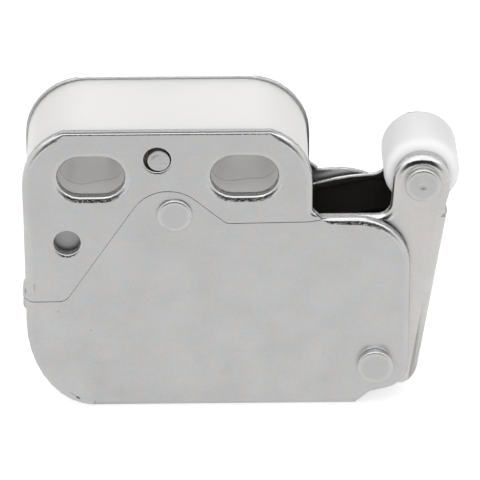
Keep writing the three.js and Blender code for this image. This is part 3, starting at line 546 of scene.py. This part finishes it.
meshLimits = {
    "weld": 0.0005 * mm, "flatDeg": 0.6, "creaseDeg": 34, "shadeWeight": 60,
    "flatNormal": 0.999,            # how squarely a sheet's outer side faces front or back
    "onPlane": 0.004 * mm,          # how near to its plane it lies
    "wallNormal": 0.2,              # how little the sheared wall faces front or back
    "wallSlack": 0.05 * mm,
    "level": 0.001 * mm, "unrolled": 0.001 * mm,
}


def isSharp(edge):
    return edge.calc_face_angle(0) > math.radians(meshLimits["creaseDeg"])


def weldedMesh(nodeName):
    bm = bmesh.new()
    bm.from_mesh(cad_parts[nodeName].data)
    flat = math.radians(meshLimits["flatDeg"])
    bmesh.ops.remove_doubles(bm, verts=bm.verts, dist=meshLimits["weld"])
    bmesh.ops.dissolve_limit(bm, angle_limit=flat, verts=bm.verts, edges=bm.edges)
    return bm


def nodeTree(nodeName):
    bm = weldedMesh(nodeName)
    tree = BVHTree.FromBMesh(bm)
    bm.free()
    return tree


def meshFrom(name, bm):
    mesh = bpy.data.meshes.new(name)
    bm.to_mesh(mesh)
    bm.free()
    return mesh


def evaluatedMesh(carrier):
    # what the carrier's modifiers make of it, as a plain mesh
    depsgraph = bpy.context.evaluated_depsgraph_get()
    mesh = bpy.data.meshes.new_from_object(carrier.evaluated_get(depsgraph), depsgraph=depsgraph)
    bpy.data.objects.remove(carrier)
    return mesh


def addPiece(name, mesh, body, slotName, *stoodFor):
    piece = addObject(name, mesh)
    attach(piece, body)
    if stoodFor:
        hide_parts(*stoodFor)
    return piece


def carrierFor(name, bm, materials):
    mesh = meshFrom(name, bm)
    for material in materials:
        mesh.materials.append(material)
    return addObject("carrier", mesh)


def evenlyShaded(carrier):
    even = carrier.modifiers.new("evenShade", "WEIGHTED_NORMAL")
    even.mode, even.weight, even.keep_sharp = "FACE_AREA", meshLimits["shadeWeight"], False
    return evaluatedMesh(carrier)


def roundedCopy(nodeName, material, width):
    # every sharp edge rounded alike, for moulded pieces
    bm = weldedMesh(nodeName)
    weights = bm.edges.layers.float.new("bevel_weight_edge")
    for face in bm.faces:
        face.smooth = True
    for edge in bm.edges:
        if isSharp(edge):
            edge[weights] = 1.0
    carrier = carrierFor(nodeName + "Rounded", bm, [material])
    bevel = carrier.modifiers.new("rounding", "BEVEL")
    bevel.width, bevel.segments, bevel.limit_method = width, 2, "WEIGHT"
    return evenlyShaded(carrier)


# Sheet pieces: their punched outlines are rolled over, ring by ring

sheetShape = {
    "sheet": 0.95 * mm,
    "outer": 0.60 * mm,     # how far in from the punched outline the sheet is rolled over
    "cornerShare": 0.28, "cornerSteps": 5, "slopeDeg": 25.0, "slopeSteps": 6,
    "fade": 0.6,            # how fast the roll may grow along the outline
    "fadePasses": 12,
    "roomShare": 0.9,       # how much of a short edge two rolls may use up
    "seam": 0.015 * mm,     # the roll along the seam, and how near the other shell is there
    "seamReach": 0.2 * mm,
    "runOut": 0.8 * mm,     # where long edges get a corner more, so that the roll fades near their ends
    "longEdge": 2.0 * mm,
    # places with a roll of their own: x, z, how far round them it holds, and its width
    "spots": [
        (6.94, 27.05, 4.2, 0.58), (22.34, 27.05, 4.2, 0.58),
        (13.61, 29.02, 2.2, 0.22), (4.39, 19.57, 2.2, 0.30),
        (0.5, 20.24, 0.56, 0.0), (0.5, 14.67, 0.56, 0.0),       # the ends of the fold
    ],
    "frontSpots": [(0.0, 12.9, 2.3, 0.0)],      # the seam's end beside the fold, on the front only
    "trimmed": 0.16 * mm, "trimmedAbove": 31.5 * mm,
    "foldRadius": 1.05 * mm,
    "foldCuts": (14.9, 15.3, 15.8, 17.4, 19.0),     # heights where it gets corners more, for even shading
    # heights between which the front is bent beside the fold: from, fully from, fully to, to
    "bentZones": [(8.8, 11.0, 14.70, 14.701), (20.23, 20.231, 20.3, 24.5)],
    # how rubbed, partly as a painted highlight, and how torn the strips of a roll are, and how strong the
    # painted shade line under down-facing corners is
    "torn": 1.0, "tornLevelFrom": 0.80, "rimShade": 0.6, "rimShadeFrom": 0.1, "rimShadeSteps": 3,
    "rubbedAndGlintFrom": 0.15, "rubbedAndGlintFullShare": 0.9, "lessRubbedAndGlint": 0.3,
}
leverShape = {
    **sheetShape, "sheet": 1.0 * mm, "torn": 0.25, "outer": 0.8 * mm, "trimmed": 0.8 * mm,
    "foldCuts": (), "bentZones": [], "frontSpots": [],
    "spots": [
        (40.3, 25.57, 1.5, 0.04), (35.73, 5.12, 2.4, 0.04),
        (38.2, 12.2, 1.6, 0.04), (42.15, 21.6, 0.52, 0.0),
    ],
}
bendLimits = {
    "cuts": 8, "cutSlack": 0.001 * mm,
    "steepShare": 0.995,            # the bend stops just short of standing upright
    "reachSlack": 0.01 * mm, "sheetSlack": 0.006 * mm,
    "offPlane": 0.002 * mm, "onFold": 0.03 * mm,     # corners that are the fold's own stay where they are
    "endReachShare": 1.02, "endHeight": 0.04 * mm, "endWeld": 0.07 * mm,
}


def cutFaces(outerY, sheet):
    # faces that span just the sheet's thickness, from one side of it to the other
    def test(face):
        reach = [abs(vert.co.y - midY) for vert in face.verts]
        slack = meshLimits["wallSlack"]
        upright = abs(face.normal.y) < meshLimits["wallNormal"]
        return upright and max(reach) > outerY - slack and abs(min(reach) - outerY + sheet) < slack
    return test


def sheetEdges(values, other):
    def width(edge):
        middle = (edge.verts[0].co + edge.verts[1].co) / 2
        if other is not None and other.find_nearest(middle, values["seamReach"])[0] is not None:
            return values["seam"]
        for x, z, reach, rolled in values["spots"] + (values["frontSpots"] if middle.y < midY else []):
            if math.hypot(middle.x - caseLeft - x * mm, middle.z - z * mm) < reach * mm:
                return rolled * mm
        # the top is trimmed after the punching
        level = abs(edge.verts[0].co.z - edge.verts[1].co.z) < meshLimits["level"]
        return values["trimmed"] if level and middle.z > values["trimmedAbove"] else values["outer"]
    return width


def cutAcross(bm, chosen, place, across, slack=0.0):
    # a plane cuts the faces that have a chosen corner
    near = {item for face in bm.faces if any(chosen(vert) for vert in face.verts)
            for item in (face, *face.edges, *face.verts)}
    bmesh.ops.bisect_plane(bm, geom=list(near), plane_co=place, plane_no=across, dist=slack)


def rolledSheet(nodeName, materials, values, outerY, other=None):
    # folded sheet whose punched outlines are rolled over on its outer sides
    bm = weldedMesh(nodeName)
    for name in ("edge", "burrAndShade"):
        bm.faces.layers.float.new(name)
    layers = bm.faces.layers.float
    isCut = cutFaces(outerY, values["sheet"])
    for face in bm.faces:
        face.smooth = True
        face.material_index = 1 if isCut(face) else 0
    width = sheetEdges(values, other)
    foldEnd = caseLeft + values["foldRadius"]
    for height in values["foldCuts"]:
        cutAcross(bm, lambda vert: vert.co.x < foldEnd, (0, 0, height * mm), (0, 0, 1))
    for side in (-1, 1):
        rollSide(bm, layers, values, midY + side * outerY, side, width)
    for zone in values["bentZones"]:
        bendBeside(bm, values, midY - outerY, zone)
    return evenlyShaded(carrierFor(nodeName + "Rolled", bm, materials))


def rimEdges(bm, planeY, side):
    # the edges round a sheet's flat outer side, and which of them are sharp
    flat = {face for face in bm.faces if face.normal.y * side > meshLimits["flatNormal"]
            and all(abs(vert.co.y - planeY) < meshLimits["onPlane"] for vert in face.verts)}
    rim = {edge: isSharp(edge) for face in flat for edge in face.edges
           if len([other for other in edge.link_faces if other in flat]) == 1}
    return flat, rim


def rollWidths(values, rim, runs, width):
    # how far in each corner of the rim is rolled: nothing where the sheet is folded, less in tight corners
    inward, limits = {}, {}
    for edge, first, second, side in runs:
        for vert in (first, second):
            inward.setdefault(vert, []).append(side)
            limits.setdefault(vert, []).append(width(edge) if rim[edge] else 0.0)
    reach = {vert: min(found) if len(found) == 2 else 0.0 for vert, found in limits.items()}
    push = {vert: (both[0] + both[-1]) / (1 + both[0].dot(both[-1])) for vert, both in inward.items()}
    for _ in range(values["fadePasses"]):
        for edge, first, second, _ in runs:
            length = edge.calc_length()
            shrink = (push[first] - push[second]).dot((second.co - first.co).normalized())
            room = values["roomShare"] * length / shrink if shrink > 0 else values["outer"]
            slope = values["fade"] * length
            reach[first] = min(reach[first], reach[second] + slope, room)
            reach[second] = min(reach[second], reach[first] + slope, room)
    return reach, push


def rollProfile(values):
    # from the sheared wall inward: a tight corner, then a long shallow slope that the punch drew down,
    # as (inward, depth) shares of the roll's width
    corner, steepest = values["cornerShare"], math.radians(values["slopeDeg"])
    radius = corner / (1 - math.sin(steepest))
    slopeDepth = math.tan(steepest) * (1 - corner) / 2
    profile = []
    for step in range(values["cornerSteps"]):
        angle = math.pi / 2 - (math.pi / 2 - steepest) * step / values["cornerSteps"]
        depth = slopeDepth + radius * (math.cos(steepest) - math.cos(angle))
        profile.append((radius * (1 - math.sin(angle)), depth))
    for step in range(values["slopeSteps"] + 1):
        left = 1 - step / values["slopeSteps"]
        profile.append((1 - left * (1 - corner), slopeDepth * left ** 2))
    return profile


def stripMarks(values, step, isFull, along, upright):
    # what faces up is rubbed, partly as wear and partly as a painted highlight, and torn where it is level;
    # the corner of what faces down gets a painted shade line
    rubbedAndGlintShare = min(max(values["rubbedAndGlintFrom"] - upright, 0.0), 1.0)
    if not isFull:
        rubbedAndGlintShare *= values["lessRubbedAndGlint"]
    torn = values["torn"] if upright < 0 and step >= values["cornerSteps"] else 0.0
    torn *= max(0.0, (abs(along.x) - values["tornLevelFrom"]) / (1 - values["tornLevelFrom"]))
    rimShade = values["rimShade"] if upright > values["rimShadeFrom"] and step < values["rimShadeSteps"] else 0.0
    return rubbedAndGlintShare, max(torn, rimShade)


def splitLongEdges(bm, values, planeY, side):
    _, rim = rimEdges(bm, planeY, side)
    for edge in [edge for edge, sharp in rim.items() if sharp and edge.calc_length() > values["longEdge"]]:
        first, second = edge.verts
        bmesh.utils.edge_split(edge, first, values["runOut"] / edge.calc_length())
        bmesh.utils.edge_split(edge, second, values["runOut"] / edge.calc_length())


def rollSide(bm, layers, values, planeY, side, width):
    splitLongEdges(bm, values, planeY, side)
    flat, rim = rimEdges(bm, planeY, side)
    outward = Vector((0, side, 0))
    runs = [(loop.edge, loop.vert, loop.link_loop_next.vert,
             outward.cross(loop.link_loop_next.vert.co - loop.vert.co).normalized())
            for face in flat for loop in face.loops if loop.edge in rim]
    reach, push = rollWidths(values, rim, runs, width)
    fullFrom = values["outer"] * values["rubbedAndGlintFullShare"]
    pairs = [(first, second, rim[edge] and width(edge) >= fullFrom) for edge, first, second, _ in runs]
    rings = {}
    profile = rollProfile(values)
    steps = len(profile) - 1
    for vert, rolled in reach.items():
        if rolled < meshLimits["unrolled"]:
            rings[vert] = [vert] * (steps + 1)
            continue
        start = vert.co.copy()
        vert.co = start - outward * profile[0][1] * rolled
        rings[vert] = [vert]
        for inward, depth in profile[1:]:
            rings[vert].append(bm.verts.new(start + (push[vert] * inward - outward * depth) * rolled))
    inner = []
    bmesh.ops.delete(bm, geom=list(flat), context="FACES_KEEP_BOUNDARY")
    for first, second, isFull in pairs:
        one, two = rings[first], rings[second]
        along = (two[0].co - one[0].co).normalized()
        upright = outward.cross(along).z
        for step in range(steps):
            corners = [one[step], two[step], two[step + 1], one[step + 1]]
            corners = [vert for i, vert in enumerate(corners) if vert not in corners[:i]]
            if len(corners) > 2:
                strip = bm.faces.new(corners)
                strip.smooth = True
                marks = stripMarks(values, step, isFull, along, upright)
                strip[layers["edge"]], strip[layers["burrAndShade"]] = marks
        inner.append(bm.edges.get((one[-1], two[-1])) or bm.edges.new((one[-1], two[-1])))
    filled = bmesh.ops.triangle_fill(bm, edges=inner, use_beauty=True, normal=outward)
    for face in filled["geom"]:
        if isinstance(face, bmesh.types.BMFace):
            face.smooth = True
            if face.normal.y * side < 0:
                face.normal_flip()
    bmesh.ops.recalc_face_normals(bm, faces=bm.faces)


def bendBeside(bm, values, planeY, zone):
    # above and below a side fold the flat plate is bent back like the fold, fading away from it
    radius, sheet = values["foldRadius"], values["sheet"]
    onLine, outward = Vector((caseLeft, 0, 0)), Vector((-1, 0, 0))
    start, full, stop, end = (height * mm for height in zone)

    def bent(inward):
        fromLine = min(max(radius - inward, 0.0), radius * bendLimits["steepShare"])
        return radius - math.sqrt(radius ** 2 - fromLine ** 2)

    def inwardOf(vert):
        return (onLine - vert.co).dot(outward)

    def inside(vert):
        inward, depth = inwardOf(vert), abs(vert.co.y - planeY)
        isOff = inward > 0 and depth > bendLimits["offPlane"]
        onFold = isOff and abs(depth - bent(inward)) < bendLimits["onFold"]
        nearEdge = inward < radius + bendLimits["reachSlack"] and start < vert.co.z < end
        return nearEdge and depth < sheet + bendLimits["sheetSlack"] and not onFold

    parts = bendLimits["cuts"]
    cuts = [(onLine - outward * radius * part / parts, outward) for part in range(1, parts + 1)]
    heights = [start + (end - start) * part / parts for part in range(1, parts)]
    cuts += [(Vector((0, 0, height)), Vector((0, 0, 1))) for height in heights]
    for place, across in cuts:
        cutAcross(bm, inside, place, across, bendLimits["cutSlack"])
    for vert in [vert for vert in bm.verts if inside(vert)]:
        z = vert.co.z
        share = min(1.0, (z - start) / (full - start), (end - z) / (end - stop))
        vert.co.y += share * bent(inwardOf(vert))
    # where plate and fold now meet, what is left of the step between them closes
    ends = [vert for vert in bm.verts
            if inwardOf(vert) < radius * bendLimits["endReachShare"] and abs(vert.co.y - planeY) < sheet
            and min(abs(vert.co.z - stop), abs(vert.co.z - full)) < bendLimits["endHeight"]]
    bmesh.ops.remove_doubles(bm, verts=ends, dist=bendLimits["endWeld"])


shellTree, coverTree = nodeTree("mounting_shell"), nodeTree("cover_shell")
for nodeName, name, other in (
    ("mounting_shell", "mountingShell", coverTree),
    ("cover_shell", "coverShell", shellTree),
):
    shell = rolledSheet(nodeName, [caseSteel, caseCut], sheetShape, halfDepth, other)
    addPiece(name, shell, "case", "case_steel", nodeName)
leverArm = rolledSheet("lever", [leverSteel, leverCut], leverShape, leverHalfDepth)
addPiece("leverChannel", leverArm, "lever_arm", "lever_steel", "lever")
print("steel pieces finished")


# node: name, body, slot, finish, width of the rounding
mouldedPieces = {
    "housing": ("mouldedHousing", "case", "white_plastic", whitePlastic, 0.14 * mm),
    "cam_block": ("camBlock", "lever_arm", "black_plastic", blackPlastic, 0.10 * mm),
    "bump_stop": ("bumpStop", "case", "rubber", blackRubber, 0.18 * mm),
    "leaf_spring": ("leafSpring", "case", "spring_steel", springSteel, 0.04 * mm),
    "leaf_stake": ("leafStake", "case", "white_plastic", whitePlastic, 0.05 * mm),
}
for nodeName, (name, body, slotName, finish, width) in mouldedPieces.items():
    addPiece(name, roundedCopy(nodeName, finish, width), body, slotName, nodeName)
print("moulded pieces finished")

for nodeName in ("roller_sleeve", "pivot_sleeve", "body_sleeve"):
    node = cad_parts[nodeName]
    node.data.materials.clear()
    node.data.materials.append(rivetSteel)


# Grown pieces: a tree with these inputs is run, and the plain mesh that it makes is kept

def grownMesh(name, tree, values):
    carrier = addObject("carrier", bpy.data.meshes.new("carrier"))
    modifier = carrier.modifiers.new("grow", "NODES")
    modifier.node_group = tree
    for item in tree.interface.items_tree:
        if item.in_out == "INPUT" and item.name in values:
            modifier[item.identifier] = values[item.name]
    mesh = evaluatedMesh(carrier)
    mesh.name = name
    bm = bmesh.new()
    bm.from_mesh(mesh)
    bmesh.ops.recalc_face_normals(bm, faces=bm.faces)
    bm.to_mesh(mesh)
    bm.free()
    return mesh


def sharpenCreases(mesh, degrees):
    mesh.shade_smooth()
    mesh.set_sharp_from_angle(angle=math.radians(degrees))


def finishTree(tree, geometry, finish):
    # the end of every tree: smooth, real and with its material
    smooth = nodeOut(tree, "GeometryNodeSetShadeSmooth", {"Geometry": geometry})
    solid = nodeOut(tree, "GeometryNodeRealizeInstances", {"Geometry": smooth})
    coated = nodeOut(tree, "GeometryNodeSetMaterial", {"Geometry": solid, "Material": finish})
    addNode(tree, "NodeGroupOutput", {"Geometry": coated})


def moved(tree, geometry, place=(0, 0, 0), turn=(0, 0, 0)):
    return nodeOut(tree, "GeometryNodeTransform", {
        "Geometry": geometry, "Translation": place, "Rotation": turn})


def together(tree, *pieces):
    whole = addNode(tree, "GeometryNodeJoinGeometry")
    for piece in pieces:
        tree.links.new(piece, whole.inputs[0])
    return whole.outputs[0]


def merged(tree, geometry, reach):
    return nodeOut(tree, "GeometryNodeMergeByDistance", {"Geometry": geometry, "Distance": reach})


# Rivets and pins: one rule for all, a head with rounded shoulders on a shank

headShape = {
    "stepsOut": 26, "stepsRound": 72,
    # shares of the way from plate to middle: up the wall, over the shoulder, across the top
    "wallShare": 0.2, "topShare": 0.8,
    "footShare": 0.2,               # how much of the wall is undercut
    "hollowRadius": 0.3 * mm, "dentScale": 1500.0, "weld": 0.001 * mm, "capWeld": 0.004 * mm,
    # up to which share the wall gets a painted highlight most, and the shoulder a little
    "wallGlint": (0.22, 0.85), "shoulderGlint": (0.82, 0.15),
    "overlap": 0.05 * mm, "flareDepth": 0.5 * mm,
}
shoulderDepthShare = 0.55
laidDown = (math.pi / 2, 0, 0)      # turns a node's upright circle, cylinder or cone to lie along y


def rivetHead(tree, given, shape):
    # a sheet of corners, wound round the axis
    around = shape["stepsRound"]
    grid = addNode(tree, "GeometryNodeMeshGrid", {
        "Size X": 1.0, "Size Y": 1.0, "Vertices X": shape["stepsOut"], "Vertices Y": around + 1,
    }).outputs["Mesh"]
    spot = split(tree, nodeOut(tree, "GeometryNodeInputPosition"))
    along = plus(tree, spot["X"], 0.5)
    turn = times(tree, plus(tree, spot["Y"], 0.5), math.pi * 2)
    wallEnd, topStart = shape["wallShare"], shape["topShare"]
    wall = times(tree, along, 1 / wallEnd, True)
    bend = times(tree, minus(tree, along, wallEnd), 1 / (topStart - wallEnd), True)
    bend = times(tree, bend, math.pi / 2)
    top = times(tree, minus(tree, along, topStart), 1 / (1 - topStart), True)
    flatRadius = minus(tree, given["Head Radius"], given["Shoulder"])
    reach = times(tree, flatRadius, minus(tree, 1.0, top))
    reach = plus(tree, reach, times(tree, given["Shoulder"], mathNode(tree, "COSINE", bend)))
    foot = mathNode(tree, "MAXIMUM", minus(tree, 1.0, times(tree, wall, 1 / shape["footShare"])), 0.0)
    reach = minus(tree, reach, times(tree, foot, given["Undercut"]))
    risen = mathNode(tree, "SINE", bend)
    rise = times(tree, minus(tree, given["Head Height"], given["Shoulder Depth"]), wall)
    rise = plus(tree, rise, times(tree, given["Shoulder Depth"], risen))
    inHollow = mathNode(tree, "DIVIDE", reach, shape["hollowRadius"])
    hollow = mathNode(tree, "MAXIMUM", minus(tree, 1.0, inHollow), 0.0)
    rise = minus(tree, rise, times(tree, given["Centre Mark"], mathNode(tree, "POWER", hollow, 0.5)))
    across = times(tree, reach, mathNode(tree, "COSINE", turn))
    upward = times(tree, reach, mathNode(tree, "SINE", turn))
    dent = centredNoise(tree, joined(tree, across, given["Seed"], upward), shape["dentScale"], 2.0)
    rise = plus(tree, rise, times(tree, times(tree, dent, given["Dents"]), risen))
    place = joined(tree, across, times(tree, rise, -1.0), upward)
    # the wall gets a bright painted highlight ring, the shoulder only a little
    glints = [times(tree, mathNode(tree, "LESS_THAN", along, until), amount)
            for until, amount in (shape["wallGlint"], shape["shoulderGlint"])]
    head = nodeOut(tree, "GeometryNodeStoreNamedAttribute", {
        "Geometry": grid, "Name": "edge", "Value": plus(tree, *glints),
    }, data_type="FLOAT", domain="POINT")
    head = nodeOut(tree, "GeometryNodeSetPosition", {"Geometry": head, "Position": place})
    under = nodeOut(tree, "GeometryNodeMeshCircle", {
        "Vertices": around, "Radius": minus(tree, given["Head Radius"], given["Undercut"])},
        fill_type="NGON")
    capped = together(tree, merged(tree, head, shape["weld"]), moved(tree, under, turn=laidDown))
    return merged(tree, capped, shape["capWeld"])


def rivetShank(tree, given, shape):
    # it reaches a little into each head, and ends just short of a flush end's face
    overlap = shape["overlap"]
    endShift = minus(tree, times(tree, given["Second Head"], overlap * 3), overlap * 2)
    endAt = plus(tree, given["Length"], endShift)
    middle = mathNode(tree, "DIVIDE", minus(tree, endAt, overlap), 2.0)
    shank = nodeOut(tree, "GeometryNodeMeshCylinder", {
        "Vertices": shape["stepsRound"], "Radius": given["Shank Radius"],
        "Depth": plus(tree, endAt, overlap)})
    return moved(tree, shank, joined(tree, y=middle), laidDown)


def makeRivetTree(shape):
    tree, given = newTree("GeometryNodeTree", "shoulderedRivet", {
        "Head Radius": 1.8 * mm, "Head Height": 0.4 * mm, "Shoulder": 0.25 * mm, "Shoulder Depth": 0.14 * mm,
        "Undercut": 0.1 * mm, "Centre Mark": 0.0, "Dents": 0.01 * mm, "Shank Radius": 1.1 * mm,
        "Length": 13.1 * mm, "Tail Radius": 1.45 * mm, "Second Head": "Bool", "Seed": 1.0,
        "Finish": "Material",
    }, {"Geometry": "Geometry"})
    head = rivetHead(tree, given, shape)
    shank = rivetShank(tree, given, shape)
    back = joined(tree, y=given["Length"])
    flare = nodeOut(tree, "GeometryNodeMeshCone", {
        "Vertices": shape["stepsRound"], "Radius Top": given["Shank Radius"],
        "Radius Bottom": given["Tail Radius"], "Depth": shape["flareDepth"]})
    tail = nodeOut(tree, "GeometryNodeSwitch", {
        "Switch": given["Second Head"], "False": moved(tree, flare, back, laidDown),
        "True": moved(tree, head, back, (0, 0, math.pi))}, input_type="GEOMETRY")
    finishTree(tree, together(tree, tail, shank, head), given["Finish"])
    return tree


rivetValues = {"Head Height": 0.4 * mm, "Dents": 0.012 * mm, "Undercut": 0.1 * mm, "Finish": rivetSteel}
# name: node, body, slot, inputs
rivets = {
    "pivotRivet": ("pivot_rivet", "case", "rivet_steel", {
        "Head Radius": 1.86 * mm, "Head Height": 0.95 * mm, "Shoulder": 0.28 * mm, "Shank Radius": 1.25 * mm,
        "Tail Radius": 1.6 * mm, "Seed": 2.0}),
    "bodyRivet": ("body_rivet", "case", "rivet_steel", {
        "Head Radius": 1.78 * mm, "Shoulder": 0.28 * mm, "Shank Radius": 1.1 * mm, "Tail Radius": 1.45 * mm,
        "Seed": 5.0}),
    "rollerPin": ("roller_pin", "lever_arm", "rivet_steel", {
        "Head Radius": 1.78 * mm, "Head Height": 0.75 * mm, "Shoulder": 0.24 * mm, "Shank Radius": 1.0 * mm,
        "Second Head": True, "Centre Mark": 0.12 * mm, "Seed": 9.0}),
    "upperPin": ("upper_pin", "case", "rivet_steel", {
        "Head Radius": 1.12 * mm, "Head Height": 0.12 * mm, "Shoulder": 0.1 * mm, "Shank Radius": 1.1 * mm,
        "Second Head": True, "Dents": 0.03 * mm, "Undercut": 0.0, "Finish": pinSteel, "Seed": 3.0}),
    "lowerPin": ("lower_pin", "case", "dark_steel", {
        "Head Radius": 1.75 * mm, "Head Height": 0.1 * mm, "Shoulder": 0.08 * mm, "Shank Radius": 1.74 * mm,
        "Second Head": True, "Dents": 0.03 * mm, "Undercut": 0.0, "Finish": darkSteel, "Seed": 4.0}),
    "camPin": ("cam_pin", "lever_arm", "rivet_steel", {
        "Head Radius": 0.9 * mm, "Head Height": 0.08 * mm, "Shoulder": 0.06 * mm, "Shank Radius": 0.89 * mm,
        "Second Head": True, "Dents": 0.01 * mm, "Undercut": 0.0, "Seed": 6.0}),
}


def addRivet(tree, name, nodeName, body, slotName, changes):
    low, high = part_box(nodeName)
    axis = (low + high) / 2
    values = {**rivetValues, **changes}
    values["Shoulder Depth"] = values["Shoulder"] * shoulderDepthShare
    values["Length"] = high.y - low.y - values["Head Height"] * (2 if values.get("Second Head") else 1)
    mesh = grownMesh(name, tree, values)
    mesh.transform(Matrix.Translation((axis.x, low.y + values["Head Height"], axis.z)))
    sharpenCreases(mesh, 40)
    addPiece(name, mesh, body, slotName, nodeName)


rivetTree = makeRivetTree(headShape)
for name, (nodeName, body, slotName, changes) in rivets.items():
    addRivet(rivetTree, name, nodeName, body, slotName, changes)
print("rivets and pins grown")


# Wire: a round section carried along a bent route or a coil

wireShape = {
    # corners of the route in x, y, z from the case's left edge and middle: it lies in front between two hooks
    "route": {"Start": (17.2, 0.3, 17.4), "Corner": (17.2, -2.9, 17.4),
              "Next Corner": (31.8, -2.9, 16.6), "End": (31.8, -1.2, 16.6)},
    "bend": 0.9 * mm, "radius": 0.4 * mm,
}
coilShape = {"turns": 6.0, "radius": 1.9 * mm, "wire": 0.28 * mm, "x": 29.3 * mm, "keep": 0.66}
wireCrease = 50


def makeWireTree():
    tree, given = newTree("GeometryNodeTree", "bentWire", {
        "Start": "Vector", "Corner": "Vector", "Next Corner": "Vector", "End": "Vector",
        "Bend": 0.9 * mm, "Wire Radius": 0.4 * mm, "Finish": "Material",
    }, {"Geometry": "Geometry"})
    line = nodeOut(tree, "GeometryNodeMeshLine", {"Count": 4})
    index = nodeOut(tree, "GeometryNodeInputIndex")
    spot = given["Start"]
    for number, label in enumerate(("Corner", "Next Corner", "End"), 1):
        past = nodeOut(tree, "FunctionNodeCompare", {2: index, 3: number}, data_type="INT",
                       operation="GREATER_EQUAL")
        spot = nodeOut(tree, "GeometryNodeSwitch", {"Switch": past, "False": spot, "True": given[label]},
                       input_type="VECTOR")
    placed = nodeOut(tree, "GeometryNodeSetPosition", {"Geometry": line, "Position": spot})
    route = nodeOut(tree, "GeometryNodeMeshToCurve", {"Mesh": placed})
    route = nodeOut(tree, "GeometryNodeFilletCurve", {"Curve": route, "Count": 8, "Radius": given["Bend"]},
                    mode="POLY")
    return finishWire(tree, route, given)


def makeCoilTree():
    tree, given = newTree("GeometryNodeTree", "compressionCoil", {
        "Turns": 6.0, "Radius": 1.9 * mm, "Height": 7.5 * mm, "Wire Radius": 0.28 * mm, "Finish": "Material",
    }, {"Geometry": "Geometry"})
    spiral = nodeOut(tree, "GeometryNodeCurveSpiral", {
        "Resolution": 40, "Rotations": given["Turns"], "Start Radius": given["Radius"],
        "End Radius": given["Radius"], "Height": given["Height"]})
    return finishWire(tree, spiral, given)


def finishWire(tree, route, given):
    ring = nodeOut(tree, "GeometryNodeCurvePrimitiveCircle", {
        "Resolution": 16, "Radius": given["Wire Radius"]})
    tube = nodeOut(tree, "GeometryNodeCurveToMesh", {
        "Curve": route, "Profile Curve": ring, "Fill Caps": True})
    finishTree(tree, tube, given["Finish"])
    return tree


def addTrackingWire(shape):
    corners = {label: Vector(place) * mm for label, place in shape["route"].items()}
    mesh = grownMesh("trackingWire", makeWireTree(), {
        **corners, "Bend": shape["bend"], "Wire Radius": shape["radius"], "Finish": springSteel})
    mesh.transform(Matrix.Translation((caseLeft, midY, 0)))
    sharpenCreases(mesh, wireCrease)
    addPiece("trackingWire", mesh, "wire_follower", "spring_steel", "tracking_wire")


def addLeverSpring(shape):
    low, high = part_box("lever_spring")
    mesh = grownMesh("leverSpring", makeCoilTree(), {
        "Turns": shape["turns"], "Radius": shape["radius"], "Wire Radius": shape["wire"],
        "Height": high.z - low.z - shape["wire"] * 2, "Finish": springSteel})
    mesh.transform(Matrix.Translation((caseLeft + shape["x"], midY, low.z + shape["wire"])))
    sharpenCreases(mesh, wireCrease)
    piece = addPiece("leverSpring", mesh, "case", "spring_steel", "lever_spring")
    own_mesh(piece)


addTrackingWire(wireShape)
addLeverSpring(coilShape)
print("wire and spring grown")


# The roller: turned from a profile of (radius, along) corners, each with its own rounding

rollerShape = {
    "radius": 3.83 * mm, "halfLength": 3.55 * mm, "edge": 1.0 * mm, "bore": 1.48 * mm, "boreEdge": 0.1 * mm,
    "hubRadius": 2.1 * mm, "hubHeight": 0.6 * mm, "hubEdge": 0.2 * mm,
    # the face between hub and rim lies a little deeper
    "dish": 0.02 * mm, "rimWidth": 1.3 * mm,
    "dishSlope": 0.2 * mm, "dishFoot": 0.15 * mm, "dishEdge": 0.1 * mm,
    "steps": 96, "arcSteps": 6, "creaseDeg": 50,
}


def roundedProfile(corners, arcSteps):
    points = []
    for i, (radius, along, rounding) in enumerate(corners):
        here = Vector((radius, along))
        before = (Vector(corners[i - 1][:2]) - here).normalized() * rounding
        after = (Vector(corners[(i + 1) % len(corners)][:2]) - here).normalized() * rounding
        for step in range(arcSteps + 1):
            t = step / arcSteps
            points.append(here + before * (1 - t) ** 2 + after * t ** 2)
    return points


def turnedMesh(name, profile, steps, x, z):
    bm = bmesh.new()
    rings = [[bm.verts.new((x + p.x * math.cos(a), midY + p.y, z + p.x * math.sin(a))) for p in profile]
             for a in (2 * math.pi * i / steps for i in range(steps))]
    for i, ring in enumerate(rings):
        following = rings[(i + 1) % steps]
        for j in range(len(profile)):
            k = (j + 1) % len(profile)
            bm.faces.new((ring[j], ring[k], following[k], following[j]))
    bmesh.ops.recalc_face_normals(bm, faces=bm.faces)
    return meshFrom(name, bm)


def addRoller(shape):
    low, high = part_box("roller")
    half, hub = shape["halfLength"], shape["halfLength"] + shape["hubHeight"]
    rim = shape["radius"] - shape["rimWidth"]
    side = [
        (shape["bore"], hub, shape["boreEdge"]),
        (shape["hubRadius"], hub, shape["hubEdge"]),
        (shape["hubRadius"], half - shape["dish"], shape["hubEdge"]),
        (rim, half - shape["dish"], shape["dishFoot"]),
        (rim + shape["dishSlope"], half, shape["dishEdge"]),
        (shape["radius"], half, shape["edge"]),
    ]
    corners = side + [(radius, -along, rounding) for radius, along, rounding in reversed(side)]
    profile = roundedProfile(corners, shape["arcSteps"])
    middle = (low + high) / 2
    mesh = turnedMesh("rollerWheel", profile, shape["steps"], middle.x, middle.z)
    mesh.materials.append(rollerPlastic)
    sharpenCreases(mesh, shape["creaseDeg"])
    addPiece("rollerWheel", mesh, "roller_wheel", "roller_plastic", "roller")


addRoller(rollerShape)
print("roller turned")
